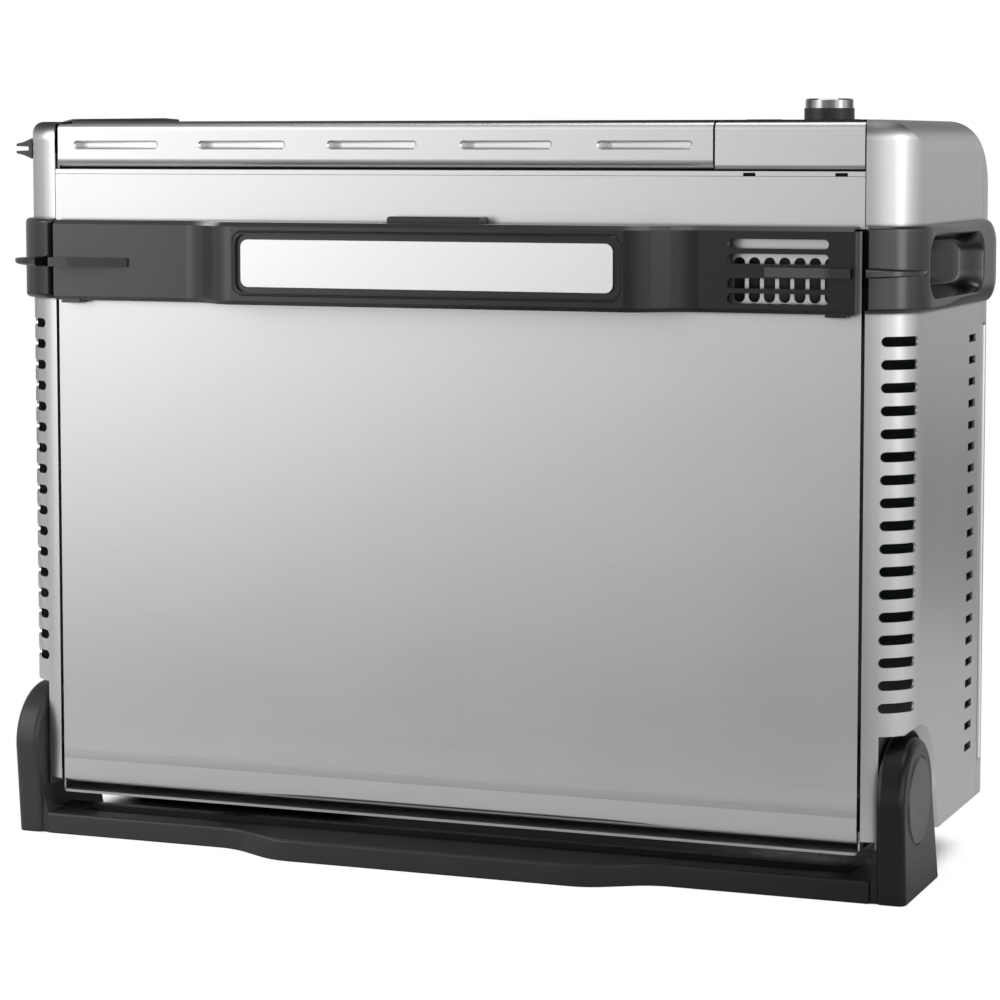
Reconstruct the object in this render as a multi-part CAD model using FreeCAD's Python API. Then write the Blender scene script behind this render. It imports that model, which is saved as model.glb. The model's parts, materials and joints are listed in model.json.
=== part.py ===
import FreeCAD, Part
import math
import os
from FreeCAD import Vector

# Countertop oven that flips up on its base, in its upright stored pose.
# Millimetres. +X is to the right, -Y towards the viewer, +Z up.
# Upright, the oven's underside faces -Y, its door and controls face up and its rear faces down.
# The origin lies on the base's underside, midway between the pivots and straight below their axis.

# Flip pivot
PIVOT_Z = 48.0
PIVOT_PIN_R = 6.0
PIVOT_BORE_R = 6.05
PIVOT_CAP_R = 22.2

# Body envelope
SHELL_W = 498.0
HALF_W = SHELL_W / 2
PANEL_Y = -22.0
BACK_Y = 158.0
REAR_Z = 25.4
REAR_CORNER_R = 18.0
FRONT_Z = 388.0
SHEET = 1.2
CORNER_R = 26.0
EDGE_R = 17.0
TOP_CURVE_R = 36.0
SEAM_Y = 132.0
SEAM_GAP = 0.3
PANEL_HALF = 225.0

# Front of the oven: door, controls and the frame behind them
FACE_Z0 = 363.2
FACE_TOP_Y = 115.0
DOOR_X0 = -222.9
DOOR_X1 = 146.4
CONTROL_X0 = 147.5
CONTROL_X1 = 224.3
TRIM_TOP = 386.9
GLASS_TOP = 388.1
GLASS_T = 3.2
TRIM_R = 3.5
FRAME_Z0 = 360.2
FRAME_Z1 = 362.6
SLOTS = 5
SLOT_X0 = -213.2
SLOT_PITCH = 74.6
SLOT_LENGTH = 50.5
SLOT_Z0 = 373.2
SLOT_Z1 = 377.9
SLOT_EDGE = 0.8
SLOT_DEPTH = 0.9
SLOT_DIP = 1.3
PULL_X0 = -214.0
PULL_X1 = 138.0
PULL_T = 3.6
PULL_ANGLE = 34.0
SCOOP_ANGLE = 52.0
DOOR_AXIS_Y = PANEL_Y + 5.0
DOOR_AXIS_Z = FACE_Z0 + 5.0
DOOR_PIN_R = 1.9
SMALL_FIT = 0.05

# Cooking cavity
CAVITY_X0 = -222.0
CAVITY_X1 = 138.0
CAVITY_Y0 = -8.0
CAVITY_Y1 = 112.0
CAVITY_Z0 = 42.0
LINER_T = 1.0

# Access panel and the moulded band across it
ACCESS_HALF = 223.2
ACCESS_Z0 = 27.0
ACCESS_Z1 = 333.6
ACCESS_BEND = 4.0
ACCESS_AXIS_Y = PANEL_Y + ACCESS_BEND
ACCESS_AXIS_Z = ACCESS_Z0 + ACCESS_BEND
ACCESS_PIN_R = 1.4
INNER_PLATE_Y = -10.2
BAND_Z0 = 292.5
BAND_Z1 = 335.5
BAND_END_Y = PANEL_Y - 9.0
BAND_MID_Y = PANEL_Y - 25.5
BAND_HALF = 221.5
BAND_BEVEL = 2.2
BAND_VENTS = [(324.6, 329.3), (317.0, 322.0), (304.8, 309.9), (297.3, 302.4)]
FIN_Z0 = 310.7
FIN_Z1 = 315.5
FIN_Y = PANEL_Y - 16.0
PLATE_HALF = 102.4
PLATE_Z0 = 302.0
PLATE_Z1 = 326.6

# Base
FOOT_PLACES = [(-205, -10), (-60, -24), (60, -24), (205, -10)]
FOOT_R = 7.0
BASE_FRONT_Y = -27.2
BULGE_Y = -44.5
BAR_BACK_Y = 8.0
BAR_TOP = 10.8
BAR_HALF = 231.0
ARM_X0 = 235.0
ARM_X1 = 249.5
ARM_R = 31.5
POCKET_R = 34.5
POCKET_FLARE = 4.0
POCKET_FLARE_X = 244.4
POCKET_FLOOR_X = 232.2

# Vents in the side covers
FRONT_VENTS = 17
FRONT_VENT_TOP = 279.1
FRONT_VENT_PITCH = 11.4
FRONT_VENT_H = 5.0
REAR_VENTS = 20
REAR_VENT_TOP = 274.2
REAR_VENT_PITCH = 11.48
REAR_VENT_H = 4.0
REAR_VENT_Y0 = 102.4
REAR_VENT_Y1 = 117.3

# Side handles
GRIP_Z0 = 293.0
GRIP_Z1 = 336.0
FINGER_Y0 = 1.0
FINGER_Y1 = 104.0
FINGER_Z0 = 301.0
FINGER_Z1 = 329.0
FINGER_R = 7.0
HANDLE_X0 = 225.3
HANDLE_BEVEL = 2.2
HANDLE_END_R = 13.0

# Fan and motor on the cavity's right wall
FAN_Y = 54.0
FAN_Z = 200.0
FAN_R = 34.0
HEATER_Y = (4.6, 102.0)
HEATER_Z = (105.0, 200.0, 295.0)
HEATER_R = 3.1

# Rear plate, its stand-offs and the outlet for the mains lead
REAR_PLATE_Z0 = 22.6
REAR_PLATE_Z1 = 24.0
REAR_FEET = [(-185.0, 116.0), (185.0, 116.0)]
CORD_X = 140.0
CORD_Y = 125.0

# Dial and buttons
DIAL_X = 186.2
DIAL_Y = 51.0
DIAL_R = 12.9
DIAL_TOP = 399.3
CAP_Z0 = 394.4
BUTTONS = {"power": (166.0, 22.0), "time": (206.0, 22.0), "temperature": (166.0, 2.0), "light": (206.0, 2.0)}
BUTTON_HALF = (9.0, 3.6)

AXIS_X = Vector(1, 0, 0)
AXIS_Y = Vector(0, 1, 0)
AXIS_Z = Vector(0, 0, 1)


def box(x0, x1, y0, y1, z0, z1):
    """Box between two corners."""
    return Part.makeBox(x1 - x0, y1 - y0, z1 - z0, Vector(x0, y0, z0))


def rod_x(x0, x1, y, z, radius):
    """Cylinder along X."""
    return Part.makeCylinder(radius, x1 - x0, Vector(x0, y, z), AXIS_X)


def rod_y(y0, y1, x, z, radius):
    """Cylinder along Y."""
    return Part.makeCylinder(radius, y1 - y0, Vector(x, y0, z), AXIS_Y)


def rod_z(z0, z1, x, y, radius):
    """Cylinder along Z."""
    return Part.makeCylinder(radius, z1 - z0, Vector(x, y, z0), AXIS_Z)


def rounded_wire(corners):
    """Closed wire through (point, radius) corners, each turned by a tangent arc of its radius."""
    count = len(corners)
    edges = []
    stretches = []
    for i, (point, radius) in enumerate(corners):
        before = (corners[i - 1][0] - point).normalize()
        after = (corners[(i + 1) % count][0] - point).normalize()
        if radius == 0:
            stretches.append((point, None, point))
            continue
        half_angle = before.getAngle(after) / 2
        reach = radius / math.tan(half_angle)
        bisector = (before + after).normalize()
        centre = point + bisector * (radius / math.sin(half_angle))
        middle = centre - bisector * radius
        stretches.append((point + before * reach, middle, point + after * reach))
    for i, (start, middle, end) in enumerate(stretches):
        if middle is not None:
            edges.append(Part.Arc(start, middle, end).toShape())
        following = stretches[(i + 1) % count][0]
        if end.distanceToPoint(following) > 1e-6:
            edges.append(Part.LineSegment(end, following).toShape())
    return Part.Wire(edges)


def plan(corners, z0, z1):
    """Prism with an outline of (x, y, radius) corners in plan."""
    wire = rounded_wire([(Vector(x, y, z0), radius) for x, y, radius in corners])
    return Part.Face(wire).extrude(Vector(0, 0, z1 - z0))


def side_profile(corners, x0, x1):
    """Prism with an outline of (y, z, radius) corners seen from the side."""
    wire = rounded_wire([(Vector(x0, y, z), radius) for y, z, radius in corners])
    return Part.Face(wire).extrude(Vector(x1 - x0, 0, 0))


def front_profile(corners, y0, y1):
    """Prism with an outline of (x, z, radius) corners seen from the front."""
    wire = rounded_wire([(Vector(x, y0, z), radius) for x, z, radius in corners])
    return Part.Face(wire).extrude(Vector(0, y1 - y0, 0))


def front_plate(x0, x1, z0, z1, radius, y0, y1):
    """Plate with rounded corners, its face towards the viewer."""
    corners = [(x0, z0, radius), (x1, z0, radius), (x1, z1, radius), (x0, z1, radius)]
    return front_profile(corners, y0, y1)


def top_plate(x0, x1, y0, y1, radius, z0, z1):
    """Plate with rounded corners, lying flat."""
    corners = [(x0, y0, radius), (x1, y0, radius), (x1, y1, radius), (x0, y1, radius)]
    return plan(corners, z0, z1)


def mirrored(shape):
    """The same piece on the other side of the oven."""
    return shape.mirror(Vector(0, 0, 0), AXIS_X)


def joined(shapes):
    """One solid out of pieces that overlap or touch."""
    result = shapes[0]
    if len(shapes) > 1:
        result = result.fuse(shapes[1:])
    return result.removeSplitter()


def grouped(shapes):
    """Separate solids kept in one node."""
    return Part.makeCompound(shapes)


def is_level(edge, z, y_limit):
    """True for an edge that lies at height z and in front of y_limit."""
    bounds = edge.BoundBox
    return abs(bounds.ZMin - z) < 1e-4 and abs(bounds.ZMax - z) < 1e-4 and bounds.YMax < y_limit


# Outer covers

def cover_blank(inset):
    """Solid envelope of the oven, drawn in by the given amount on every side."""
    half = HALF_W - inset
    y0 = PANEL_Y + inset
    y1 = BACK_Y - inset
    z0 = REAR_Z + inset
    z1 = FRONT_Z - inset
    below = z0 - 20
    before = y0 - 60
    corners = [(before, below, 0), (y1, below, 0), (y1, z1, TOP_CURVE_R - inset), (before, z1, 0)]
    side = side_profile(corners, -half, half)
    rounded = []
    for edge in side.Edges:
        bounds = edge.BoundBox
        on_side = bounds.XLength < 1e-4
        if on_side and bounds.ZMax > z0 and bounds.YMax > y0:
            rounded.append(edge)
    side = side.makeFillet(EDGE_R - inset, rounded)
    front_r = CORNER_R - inset
    outline = [(-half, y0, front_r), (half, y0, front_r), (half, y1 + 20, 0), (-half, y1 + 20, 0)]
    heel = [(y0 - 1, z0, 0), (y1, z0, REAR_CORNER_R - inset), (y1, z1 + 1, 0), (y0 - 1, z1 + 1, 0)]
    return side.common(plan(outline, z0, z1)).common(side_profile(heel, -half, half))


def pocket_outline(grow):
    """Outline in (y, z, radius) of the recess that the base's arm stands in over the whole flip."""
    r = POCKET_R + grow
    before = PANEL_Y - 38
    foot = [(before, 8, 0), (46 + grow, 8, 0), (r, PIVOT_Z, 0)]
    return foot + [(r, PIVOT_Z + r, r - 0.2), (before, PIVOT_Z + r, 0)]


def pocket(grow, x0):
    """Recess from x0 outwards, its rim flared where the sheet is drawn in."""
    straight = side_profile(pocket_outline(grow), x0, POCKET_FLARE_X)
    rims = []
    for x, extra in ((POCKET_FLARE_X, 0.0), (HALF_W + 0.3, POCKET_FLARE)):
        rims.append(rounded_wire([(Vector(x, y, z), r) for y, z, r in pocket_outline(grow + extra)]))
    return straight.fuse(Part.makeLoft(rims, True, True))


def front_vent_cutters():
    """Slots that wrap the right-hand front corner, with round ends."""
    r = FRONT_VENT_H / 2
    x0 = 232.9 + r
    y1 = -4.2 - r
    cutters = []
    for i in range(FRONT_VENTS):
        z = FRONT_VENT_TOP - i * FRONT_VENT_PITCH
        slab = box(x0, HALF_W + 5, PANEL_Y - 5, y1, z - r, z + r)
        cutters.append(joined([slab, rod_y(PANEL_Y - 5, y1, x0, z, r), rod_x(x0, HALF_W + 5, y1, z, r)]))
    return cutters


def rear_vent_cutters():
    """Short slots near the far edge of the right side."""
    half = REAR_VENT_H / 2
    cutters = []
    for i in range(REAR_VENTS):
        z = REAR_VENT_TOP - i * REAR_VENT_PITCH
        cutters.append(box(HALF_W - 5, HALF_W + 5, REAR_VENT_Y0, REAR_VENT_Y1, z - half, z + half))
    return cutters


def sheet_covers():
    """The steel cover as one bent sheet, before it is split at the side seams."""
    sheet = cover_blank(0).cut(cover_blank(SHEET))
    underside = box(-PANEL_HALF, PANEL_HALF, PANEL_Y - 1, PANEL_Y + 9, REAR_Z - 15, FRONT_Z + 1)
    front = box(-PANEL_HALF, PANEL_HALF, PANEL_Y - 1, FACE_TOP_Y + 0.8, FRONT_Z - 6, FRONT_Z + 1)
    rear = box(-HALF_W + 12, HALF_W - 12, PANEL_Y - 1, BACK_Y - REAR_CORNER_R, REAR_Z - 1, REAR_Z + 4)
    return sheet.cut([underside, front, rear])


def side_cover_right(sheet):
    """Right side with its front corner, vents, arm pocket and cut-out for the handle."""
    cover = sheet.common(box(PANEL_HALF - 1, HALF_W + 1, PANEL_Y - 1, SEAM_Y, REAR_Z - 15, FRONT_Z + 1))
    hollow = pocket(0, POCKET_FLOOR_X + SHEET)
    tub = pocket(SHEET, POCKET_FLOOR_X).common(cover_blank(0)).cut(hollow)
    tub = tub.cut(rod_x(POCKET_FLOOR_X - 1, POCKET_FLOOR_X + 3, 0, PIVOT_Z, 8.0))
    cover = cover.cut(hollow).fuse(tub)
    grip_hole = box(HALF_W - 6, HALF_W + 2, FINGER_Y0 - 4, FINGER_Y1 + 4, FINGER_Z0 - 3.5, FINGER_Z1 + 3.5)
    cover = cover.cut([grip_hole] + front_vent_cutters() + rear_vent_cutters())
    return cover.removeSplitter()


def top_cover(sheet):
    """The cover's long side, which is the oven's top in use, with a raised hem along each side seam."""
    y0 = SEAM_Y + SEAM_GAP
    whole_width = box(-HALF_W - 1, HALF_W + 1, y0, BACK_Y + 1, REAR_Z - 15, FRONT_Z + 1)
    between = box(-PANEL_HALF + 1.3, PANEL_HALF - 1.3, FACE_TOP_Y, y0 + 1, FRONT_Z - 6, FRONT_Z + 1)
    cover = sheet.common(joined([whole_width, between]))
    scoop_y = BACK_Y - TOP_CURVE_R + TOP_CURVE_R * math.sin(math.radians(SCOOP_ANGLE))
    cover = cover.cut(box(PULL_X0 - 2, PULL_X1 + 2, FACE_TOP_Y - 1, scoop_y, FRONT_Z - 20, FRONT_Z + 1))
    hem = box(HALF_W - 0.2, HALF_W + 1.0, y0, y0 + 5, 45.6, 280.0)
    return joined([cover, hem, mirrored(hem)])


def underside_strip():
    """Fixed steel strip between the access panel and the door."""
    half = PANEL_HALF - 0.4
    return front_plate(-half, half, ACCESS_Z1 + 0.8, FRAME_Z0 - 0.2, 0.4, PANEL_Y, PANEL_Y + SHEET)


def back_panel():
    """Rear plate of the oven, lowest when upright, with vent slots and a cord outlet."""
    y0 = PANEL_Y - 1.6
    y1 = BACK_Y - REAR_CORNER_R + 6
    half = PANEL_HALF - 0.6
    plate = top_plate(-half, half, y0, y1, 4.0, REAR_PLATE_Z0, REAR_PLATE_Z1)
    wings = box(-HALF_W + 6, HALF_W - 6, 52.0, y1, REAR_PLATE_Z0, REAR_PLATE_Z1)
    plate = joined([plate, wings])
    cutters = [rod_z(REAR_PLATE_Z0 - 1, REAR_PLATE_Z1 + 1, CORD_X, CORD_Y, 6.0)]
    for row in range(4):
        for column in range(6):
            x = 60 + column * 24
            y = 50 + row * 14
            cutters.append(box(x - 9, x + 9, y - 2, y + 2, REAR_PLATE_Z0 - 1, REAR_PLATE_Z1 + 1))
    return plate.cut(cutters)


def front_frame():
    """Plate behind the door with the mouth of the cavity in it, turned up at the rear of the finger scoop."""
    scoop_y = BACK_Y - TOP_CURVE_R + (TOP_CURVE_R - SHEET) * math.sin(math.radians(SCOOP_ANGLE))
    scoop_z = 371.6
    profile = [(PANEL_Y, FRAME_Z0, 0), (scoop_y, FRAME_Z0, 6.0), (scoop_y, scoop_z, 0)]
    profile += [(scoop_y - SHEET, scoop_z, 0), (scoop_y - SHEET, FRAME_Z1, 4.8), (PANEL_Y, FRAME_Z1, 0)]
    plate = side_profile(profile, -PANEL_HALF + 0.4, PANEL_HALF - 0.4)
    below = FRAME_Z0 - 1
    above = FRAME_Z1 + 1
    mouth = box(CAVITY_X0 + 2, CAVITY_X1 - 2, CAVITY_Y0, CAVITY_Y1 - 2, below, above)
    notches = [box(x, x + 6.3, PANEL_Y - 1, PANEL_Y + 1.5, below, above - 2) for x in (162.2, 209.4)]
    return plate.cut([mouth] + notches)


# Base

def base_bar():
    """Crossbar with a forward bulge in the middle that carries the band's foot."""
    corners = [(-BAR_HALF, BASE_FRONT_Y, 0), (-118, BASE_FRONT_Y, 34), (-88, BULGE_Y, 34)]
    corners += [(88, BULGE_Y, 34), (118, BASE_FRONT_Y, 34), (BAR_HALF, BASE_FRONT_Y, 0)]
    corners += [(BAR_HALF, BAR_BACK_Y, 0), (-BAR_HALF, BAR_BACK_Y, 0)]
    bar = plan(corners, 0, BAR_TOP)
    front_edges = [edge for edge in bar.Edges if is_level(edge, BAR_TOP, BAR_BACK_Y - 1)]
    bar = bar.makeFillet(1.5, [edge for edge in front_edges if edge.BoundBox.XLength > 1e-4])
    groove = box(-BAR_HALF + 12, BAR_HALF - 12, -14, 2, BAR_TOP - 3, BAR_TOP + 1)
    return bar.cut([groove] + [rod_z(-1, 1.2, x, y, FOOT_R + SMALL_FIT) for x, y in FOOT_PLACES])


def base_pads():
    """Rubber pads let into the bar's underside, flush with it."""
    return grouped([rod_z(0, 1.1, x, y, FOOT_R) for x, y in FOOT_PLACES])


def base_arm_right():
    """Arm with a round head about the pivot, flaring to a long foot that curves into the crossbar."""
    head = [Vector(ARM_X0, y, PIVOT_Z + z) for y, z in ((-ARM_R, 0), (0, ARM_R), (ARM_R, 0))]
    foot = [head[2], Vector(ARM_X0, 46.9, 0), Vector(ARM_X0, BASE_FRONT_Y, 0), head[0]]
    side = [Part.Arc(*head).toShape()]
    side += [Part.LineSegment(a, b).toShape() for a, b in zip(foot, foot[1:])]
    arm = Part.Face(Part.Wire(side)).extrude(Vector(ARM_X1 - ARM_X0, 0, 0))
    outer = [edge for edge in arm.Edges if edge.BoundBox.XMin > ARM_X1 - 1e-4 and edge.BoundBox.ZMax > 1]
    arm = arm.makeFillet(4.0, outer)
    inner = [edge for edge in arm.Edges if edge.BoundBox.XMax < ARM_X0 + 1e-4 and edge.BoundBox.ZMax > 1]
    arm = arm.makeFillet(2.5, inner)
    arm = arm.fuse(base_toe_right()).removeSplitter()
    seat = rod_x(ARM_X1 - 3, ARM_X1 + 1, 0, PIVOT_Z, PIVOT_CAP_R + 0.3)
    bore = rod_x(ARM_X0 - 1, ARM_X1, 0, PIVOT_Z, PIVOT_PIN_R + 0.02)
    return arm.cut([seat, bore])


def base_toe_right():
    """Hollow curve from the crossbar up the arm's inner face, cut clear of the oven's swing."""
    x0 = BAR_HALF + 0.3
    x1 = ARM_X0 + 4
    y = BASE_FRONT_Y + 1.5
    toe_z = 26
    corners = [(x0, BAR_TOP), (x0, 0), (x1, 0), (x1, toe_z), (ARM_X0, toe_z)]
    floor = [Vector(x, y, z) for x, z in corners]
    edges = [Part.LineSegment(a, b).toShape() for a, b in zip(floor, floor[1:])]
    edges.append(Part.Arc(floor[-1], Vector(ARM_X0 - 1.1, y, 18), floor[0]).toShape())
    toe = Part.Face(Part.Wire(edges)).extrude(Vector(0, BAR_BACK_Y - y, 0))
    return toe.cut(rod_x(x0 - 1, ARM_X0, 0, PIVOT_Z, 38.0))


def pivot_cap_right():
    """Round cover plate over the pivot, dished a little at its rim."""
    cap = rod_x(ARM_X1 - 2.8, ARM_X1 + 0.7, 0, PIVOT_Z, PIVOT_CAP_R)
    rim = [edge for edge in cap.Edges if edge.BoundBox.XMin > ARM_X1 + 0.6]
    return cap.makeChamfer(0.9, rim)


def pivot_pin_right():
    """Steel pin fixed in the arm, with a collar inside the oven's bracket."""
    pin = rod_x(223.6, ARM_X1 - 3.1, 0, PIVOT_Z, PIVOT_PIN_R)
    collar = rod_x(223.6, 226.6, 0, PIVOT_Z, 9.0)
    return joined([pin, collar])


def pivot_bracket_right():
    """Steel plate inside the cover that turns on the pin."""
    plate = side_profile([(-19, 28, 4), (40, 28, 12), (40, 80, 12), (-19, 80, 12)], 227.2, 231.6)
    return plate.cut(rod_x(226, 233, 0, PIVOT_Z, PIVOT_BORE_R))


def friction_washer_right():
    """Ring between the pocket's floor and the arm that steadies the flip."""
    ring = rod_x(POCKET_FLOOR_X + SHEET + 0.2, ARM_X0 - 0.2, 0, PIVOT_Z, 16.0)
    return ring.cut(rod_x(230, 240, 0, PIVOT_Z, PIVOT_PIN_R + 0.4))


# Side handles

def side_handle_right():
    """Moulded handle round the front corner, with a finger recess whose floor bends inwards."""
    gap = 0.15
    inner_r = CORNER_R + gap
    x0 = HANDLE_X0
    centre_x = HALF_W - CORNER_R
    centre_y = PANEL_Y + CORNER_R
    front_y = PANEL_Y - 5.5
    side_x = HALF_W + 4.0
    far_x = side_x + 3.2
    diagonal = math.sqrt(0.5)
    outer_r = CORNER_R + 4.6
    z = GRIP_Z0

    def corner(radius, angle):
        return Vector(centre_x + radius * math.sin(angle), centre_y - radius * math.cos(angle), z)

    start_angle = math.asin((x0 - centre_x) / inner_r)
    middle_angle = (start_angle + math.pi / 2) / 2
    inner_start = corner(inner_r, start_angle)
    front = [Vector(x0, front_y + 2.6, z), Vector(x0 + 2.8, front_y, z)]
    side_start = Vector(side_x, 4.0, z)
    knee = Vector(centre_x + outer_r * diagonal, centre_y - outer_r * diagonal, z)
    edges = [
        Part.LineSegment(inner_start, front[0]),
        Part.LineSegment(front[0], front[1]),
        Part.Arc(front[1], knee, side_start),
        Part.LineSegment(side_start, Vector(far_x, 126, z)),
        Part.Arc(Vector(far_x, 126, z), Vector(far_x - 1.8, 138, z), Vector(HALF_W + gap, 146, z)),
        Part.LineSegment(Vector(HALF_W + gap, 146, z), corner(inner_r, math.pi / 2)),
        Part.Arc(corner(inner_r, math.pi / 2), corner(inner_r, middle_angle), inner_start),
    ]
    band = Part.Face(Part.Wire([edge.toShape() for edge in edges])).extrude(Vector(0, 0, GRIP_Z1 - GRIP_Z0))
    rims = []
    for edge in band.Edges:
        bounds = edge.BoundBox
        level = bounds.ZLength < 1e-4
        outside = bounds.YMin < front_y + 3 or bounds.XMin > HALF_W + 1
        if level and outside and bounds.YMax < 130 and (bounds.XMax > side_x - 1 or bounds.XMax < x0 + 4):
            rims.append(edge)
    band = band.makeChamfer(HANDLE_BEVEL, rims)
    far_y = 147
    ends = [(-80, GRIP_Z0, 0), (far_y, GRIP_Z0, HANDLE_END_R)]
    ends += [(far_y, GRIP_Z1, HANDLE_END_R), (-80, GRIP_Z1, 0)]
    band = band.common(side_profile(ends, 200, 300))
    block = box(227.5, HALF_W + gap + 0.5, FINGER_Y0 - 3, FINGER_Y1 + 3, FINGER_Z0 - 2.5, FINGER_Z1 + 2.5)
    return joined([band, block, corner_fin()]).cut(finger_recess())


def finger_recess():
    """Space for the fingers: shallow near the front, then bending in behind the grip."""
    far = HALF_W + 12
    deep = 229.6
    z = FINGER_Z0
    points = [Vector(far, FINGER_Y0, z), Vector(HALF_W, FINGER_Y0, z), Vector(HALF_W - 4, FINGER_Y0 + 9, z)]
    points += [Vector(deep, 86, z), Vector(deep, FINGER_Y1, z), Vector(far, FINGER_Y1, z)]
    edges = [Part.LineSegment(points[0], points[1]), Part.LineSegment(points[1], points[2])]
    edges.append(Part.Arc(points[2], Vector(HALF_W - 8, 50, z), points[3]))
    edges += [Part.LineSegment(a, b) for a, b in zip(points[3:], points[4:] + points[:1])]
    hollow = Part.Face(Part.Wire([edge.toShape() for edge in edges])).extrude(Vector(0, 0, FINGER_Z1 - z))
    opening = [(FINGER_Y0, z), (FINGER_Y1, z), (FINGER_Y1, FINGER_Z1), (FINGER_Y0, FINGER_Z1)]
    mouth = side_profile([(y, z, FINGER_R) for y, z in opening], 220, far)
    rims = []
    for x, grow in ((HALF_W + 2.0, 0.0), (HALF_W + 9.0, 4.0)):
        y0 = FINGER_Y0 - grow
        y1 = FINGER_Y1 + grow
        low = FINGER_Z0 - grow
        high = FINGER_Z1 + grow
        outline = [(y0, low), (y1, low), (y1, high), (y0, high)]
        rims.append(rounded_wire([(Vector(x, y, z), FINGER_R + grow) for y, z in outline]))
    return hollow.common(mouth).fuse(Part.makeLoft(rims, True, True))


def corner_fin():
    """Thin fin that carries on from the band's and tapers to a point on the handle's corner."""
    x0 = HANDLE_X0 + 2.9
    tip_x = HALF_W + 4.0
    middle = (FIN_Z0 + FIN_Z1) / 2
    start = Vector(x0, PANEL_Y - 4, FIN_Z0)
    front = Vector(x0, FIN_Y, FIN_Z0)
    fade = Vector(HALF_W + 3.4, -9.0, FIN_Z0)
    edges = [
        Part.LineSegment(start, front).toShape(),
        Part.Arc(front, Vector(245.6, -28.4, FIN_Z0), fade).toShape(),
        Part.Arc(fade, Vector(241.0, -18.2, FIN_Z0), start).toShape(),
    ]
    fin = Part.Face(Part.Wire(edges)).extrude(Vector(0, 0, FIN_Z1 - FIN_Z0))
    taper = [(x0 - 1, FIN_Z0, 0), (tip_x, middle - 0.5, 0), (tip_x, middle + 0.5, 0), (x0 - 1, FIN_Z1, 0)]
    return fin.common(front_profile(taper, FIN_Y - 1, 0))


# Access panel, band and latch

def access_panel():
    """Flat steel skin of the underside, bent in along its edges, with slots behind the band's vents."""
    inner_y = PANEL_Y + SHEET
    inner_z = ACCESS_Z0 + SHEET
    lip_y = PANEL_Y + 8
    bend = [(PANEL_Y, ACCESS_Z1, 1.0), (PANEL_Y, ACCESS_Z0, ACCESS_BEND), (lip_y, ACCESS_Z0, 0)]
    bend += [(lip_y, inner_z, 0), (inner_y, inner_z, ACCESS_BEND - SHEET), (inner_y, ACCESS_Z1, 0)]
    skin = side_profile(bend, -ACCESS_HALF, ACCESS_HALF)
    fold_x = ACCESS_HALF - 12
    fold_y = INNER_PLATE_Y - 0.2
    fold = box(-fold_x, fold_x, inner_y, fold_y, ACCESS_Z1 - 1.4, ACCESS_Z1 - 0.4)
    flange_x = ACCESS_HALF - 1.6
    flange = box(flange_x - 0.5, flange_x + 0.5, inner_y, fold_y, 50, ACCESS_Z1 - 6)
    panel = joined([skin, fold, flange, mirrored(flange)])
    cutters = []
    for i in range(7):
        x = 160.6 + i * 7.8
        cutters.append(front_plate(x - 2.9, x + 2.9, 297.5, 320.0, 2.8, PANEL_Y - 1, inner_y + 0.5))
    return panel.cut(cutters)


def access_inner():
    """Inner plate of the access panel, with a blind duct behind its slots and the hinge knuckles."""
    plate = box(-219.5, 219.5, INNER_PLATE_Y, INNER_PLATE_Y + 1, 38.0, 330.0)
    duct = box(155.5, 212.5, PANEL_Y + SHEET + 0.1, INNER_PLATE_Y, 294.5, 329.5)
    duct = duct.cut(box(156.7, 211.3, PANEL_Y, INNER_PLATE_Y, 295.7, 328.3))
    web = box(-212, 212, PANEL_Y + SHEET + 0.2, INNER_PLATE_Y + 1, 38.0, 39.0)
    barrel = rod_x(206, 219, ACCESS_AXIS_Y, ACCESS_AXIS_Z, 2.2)
    strap = box(206, 212, ACCESS_AXIS_Y - 1, ACCESS_AXIS_Y + 1, ACCESS_AXIS_Z, 38.5)
    inner = joined([plate, duct, web, barrel, strap, mirrored(barrel), mirrored(strap)])
    bore = rod_x(-230, 230, ACCESS_AXIS_Y, ACCESS_AXIS_Z, ACCESS_PIN_R + SMALL_FIT)
    return inner.cut(bore)


def access_pin_right():
    """Hinge pin of the access panel with the ear that holds it on the rear plate."""
    ear_x = ACCESS_HALF + 0.3
    end_x = ear_x + 0.9
    pin = rod_x(208, end_x, ACCESS_AXIS_Y, ACCESS_AXIS_Z, ACCESS_PIN_R)
    ear = box(ear_x, end_x, ACCESS_AXIS_Y - 2, ACCESS_AXIS_Y + 5, REAR_PLATE_Z1, ACCESS_AXIS_Z + 3)
    return joined([pin, ear])


def band_outline():
    """Plan of the band: flat ends, S-bends and a middle that stands proud."""
    back = PANEL_Y - 0.05
    left = [(-BAND_HALF, back, 0), (-BAND_HALF, BAND_END_Y, 0)]
    left += [(-134.5, BAND_END_Y, 20), (-115.5, BAND_MID_Y, 20)]
    return left + [(-x, y, radius) for x, y, radius in reversed(left)]


def band_fin():
    """Thin wedge that grows out of the band towards its right-hand end."""
    root_y = BAND_END_Y + 1
    start = [(176.5, BAND_END_Y - 1.4, 0), (176.5, root_y, 0)]
    end = [(BAND_HALF, root_y, 0), (BAND_HALF, FIN_Y, 1), (209, FIN_Y + 0.6, 40)]
    return plan(end + start, FIN_Z0, FIN_Z1)


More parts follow.
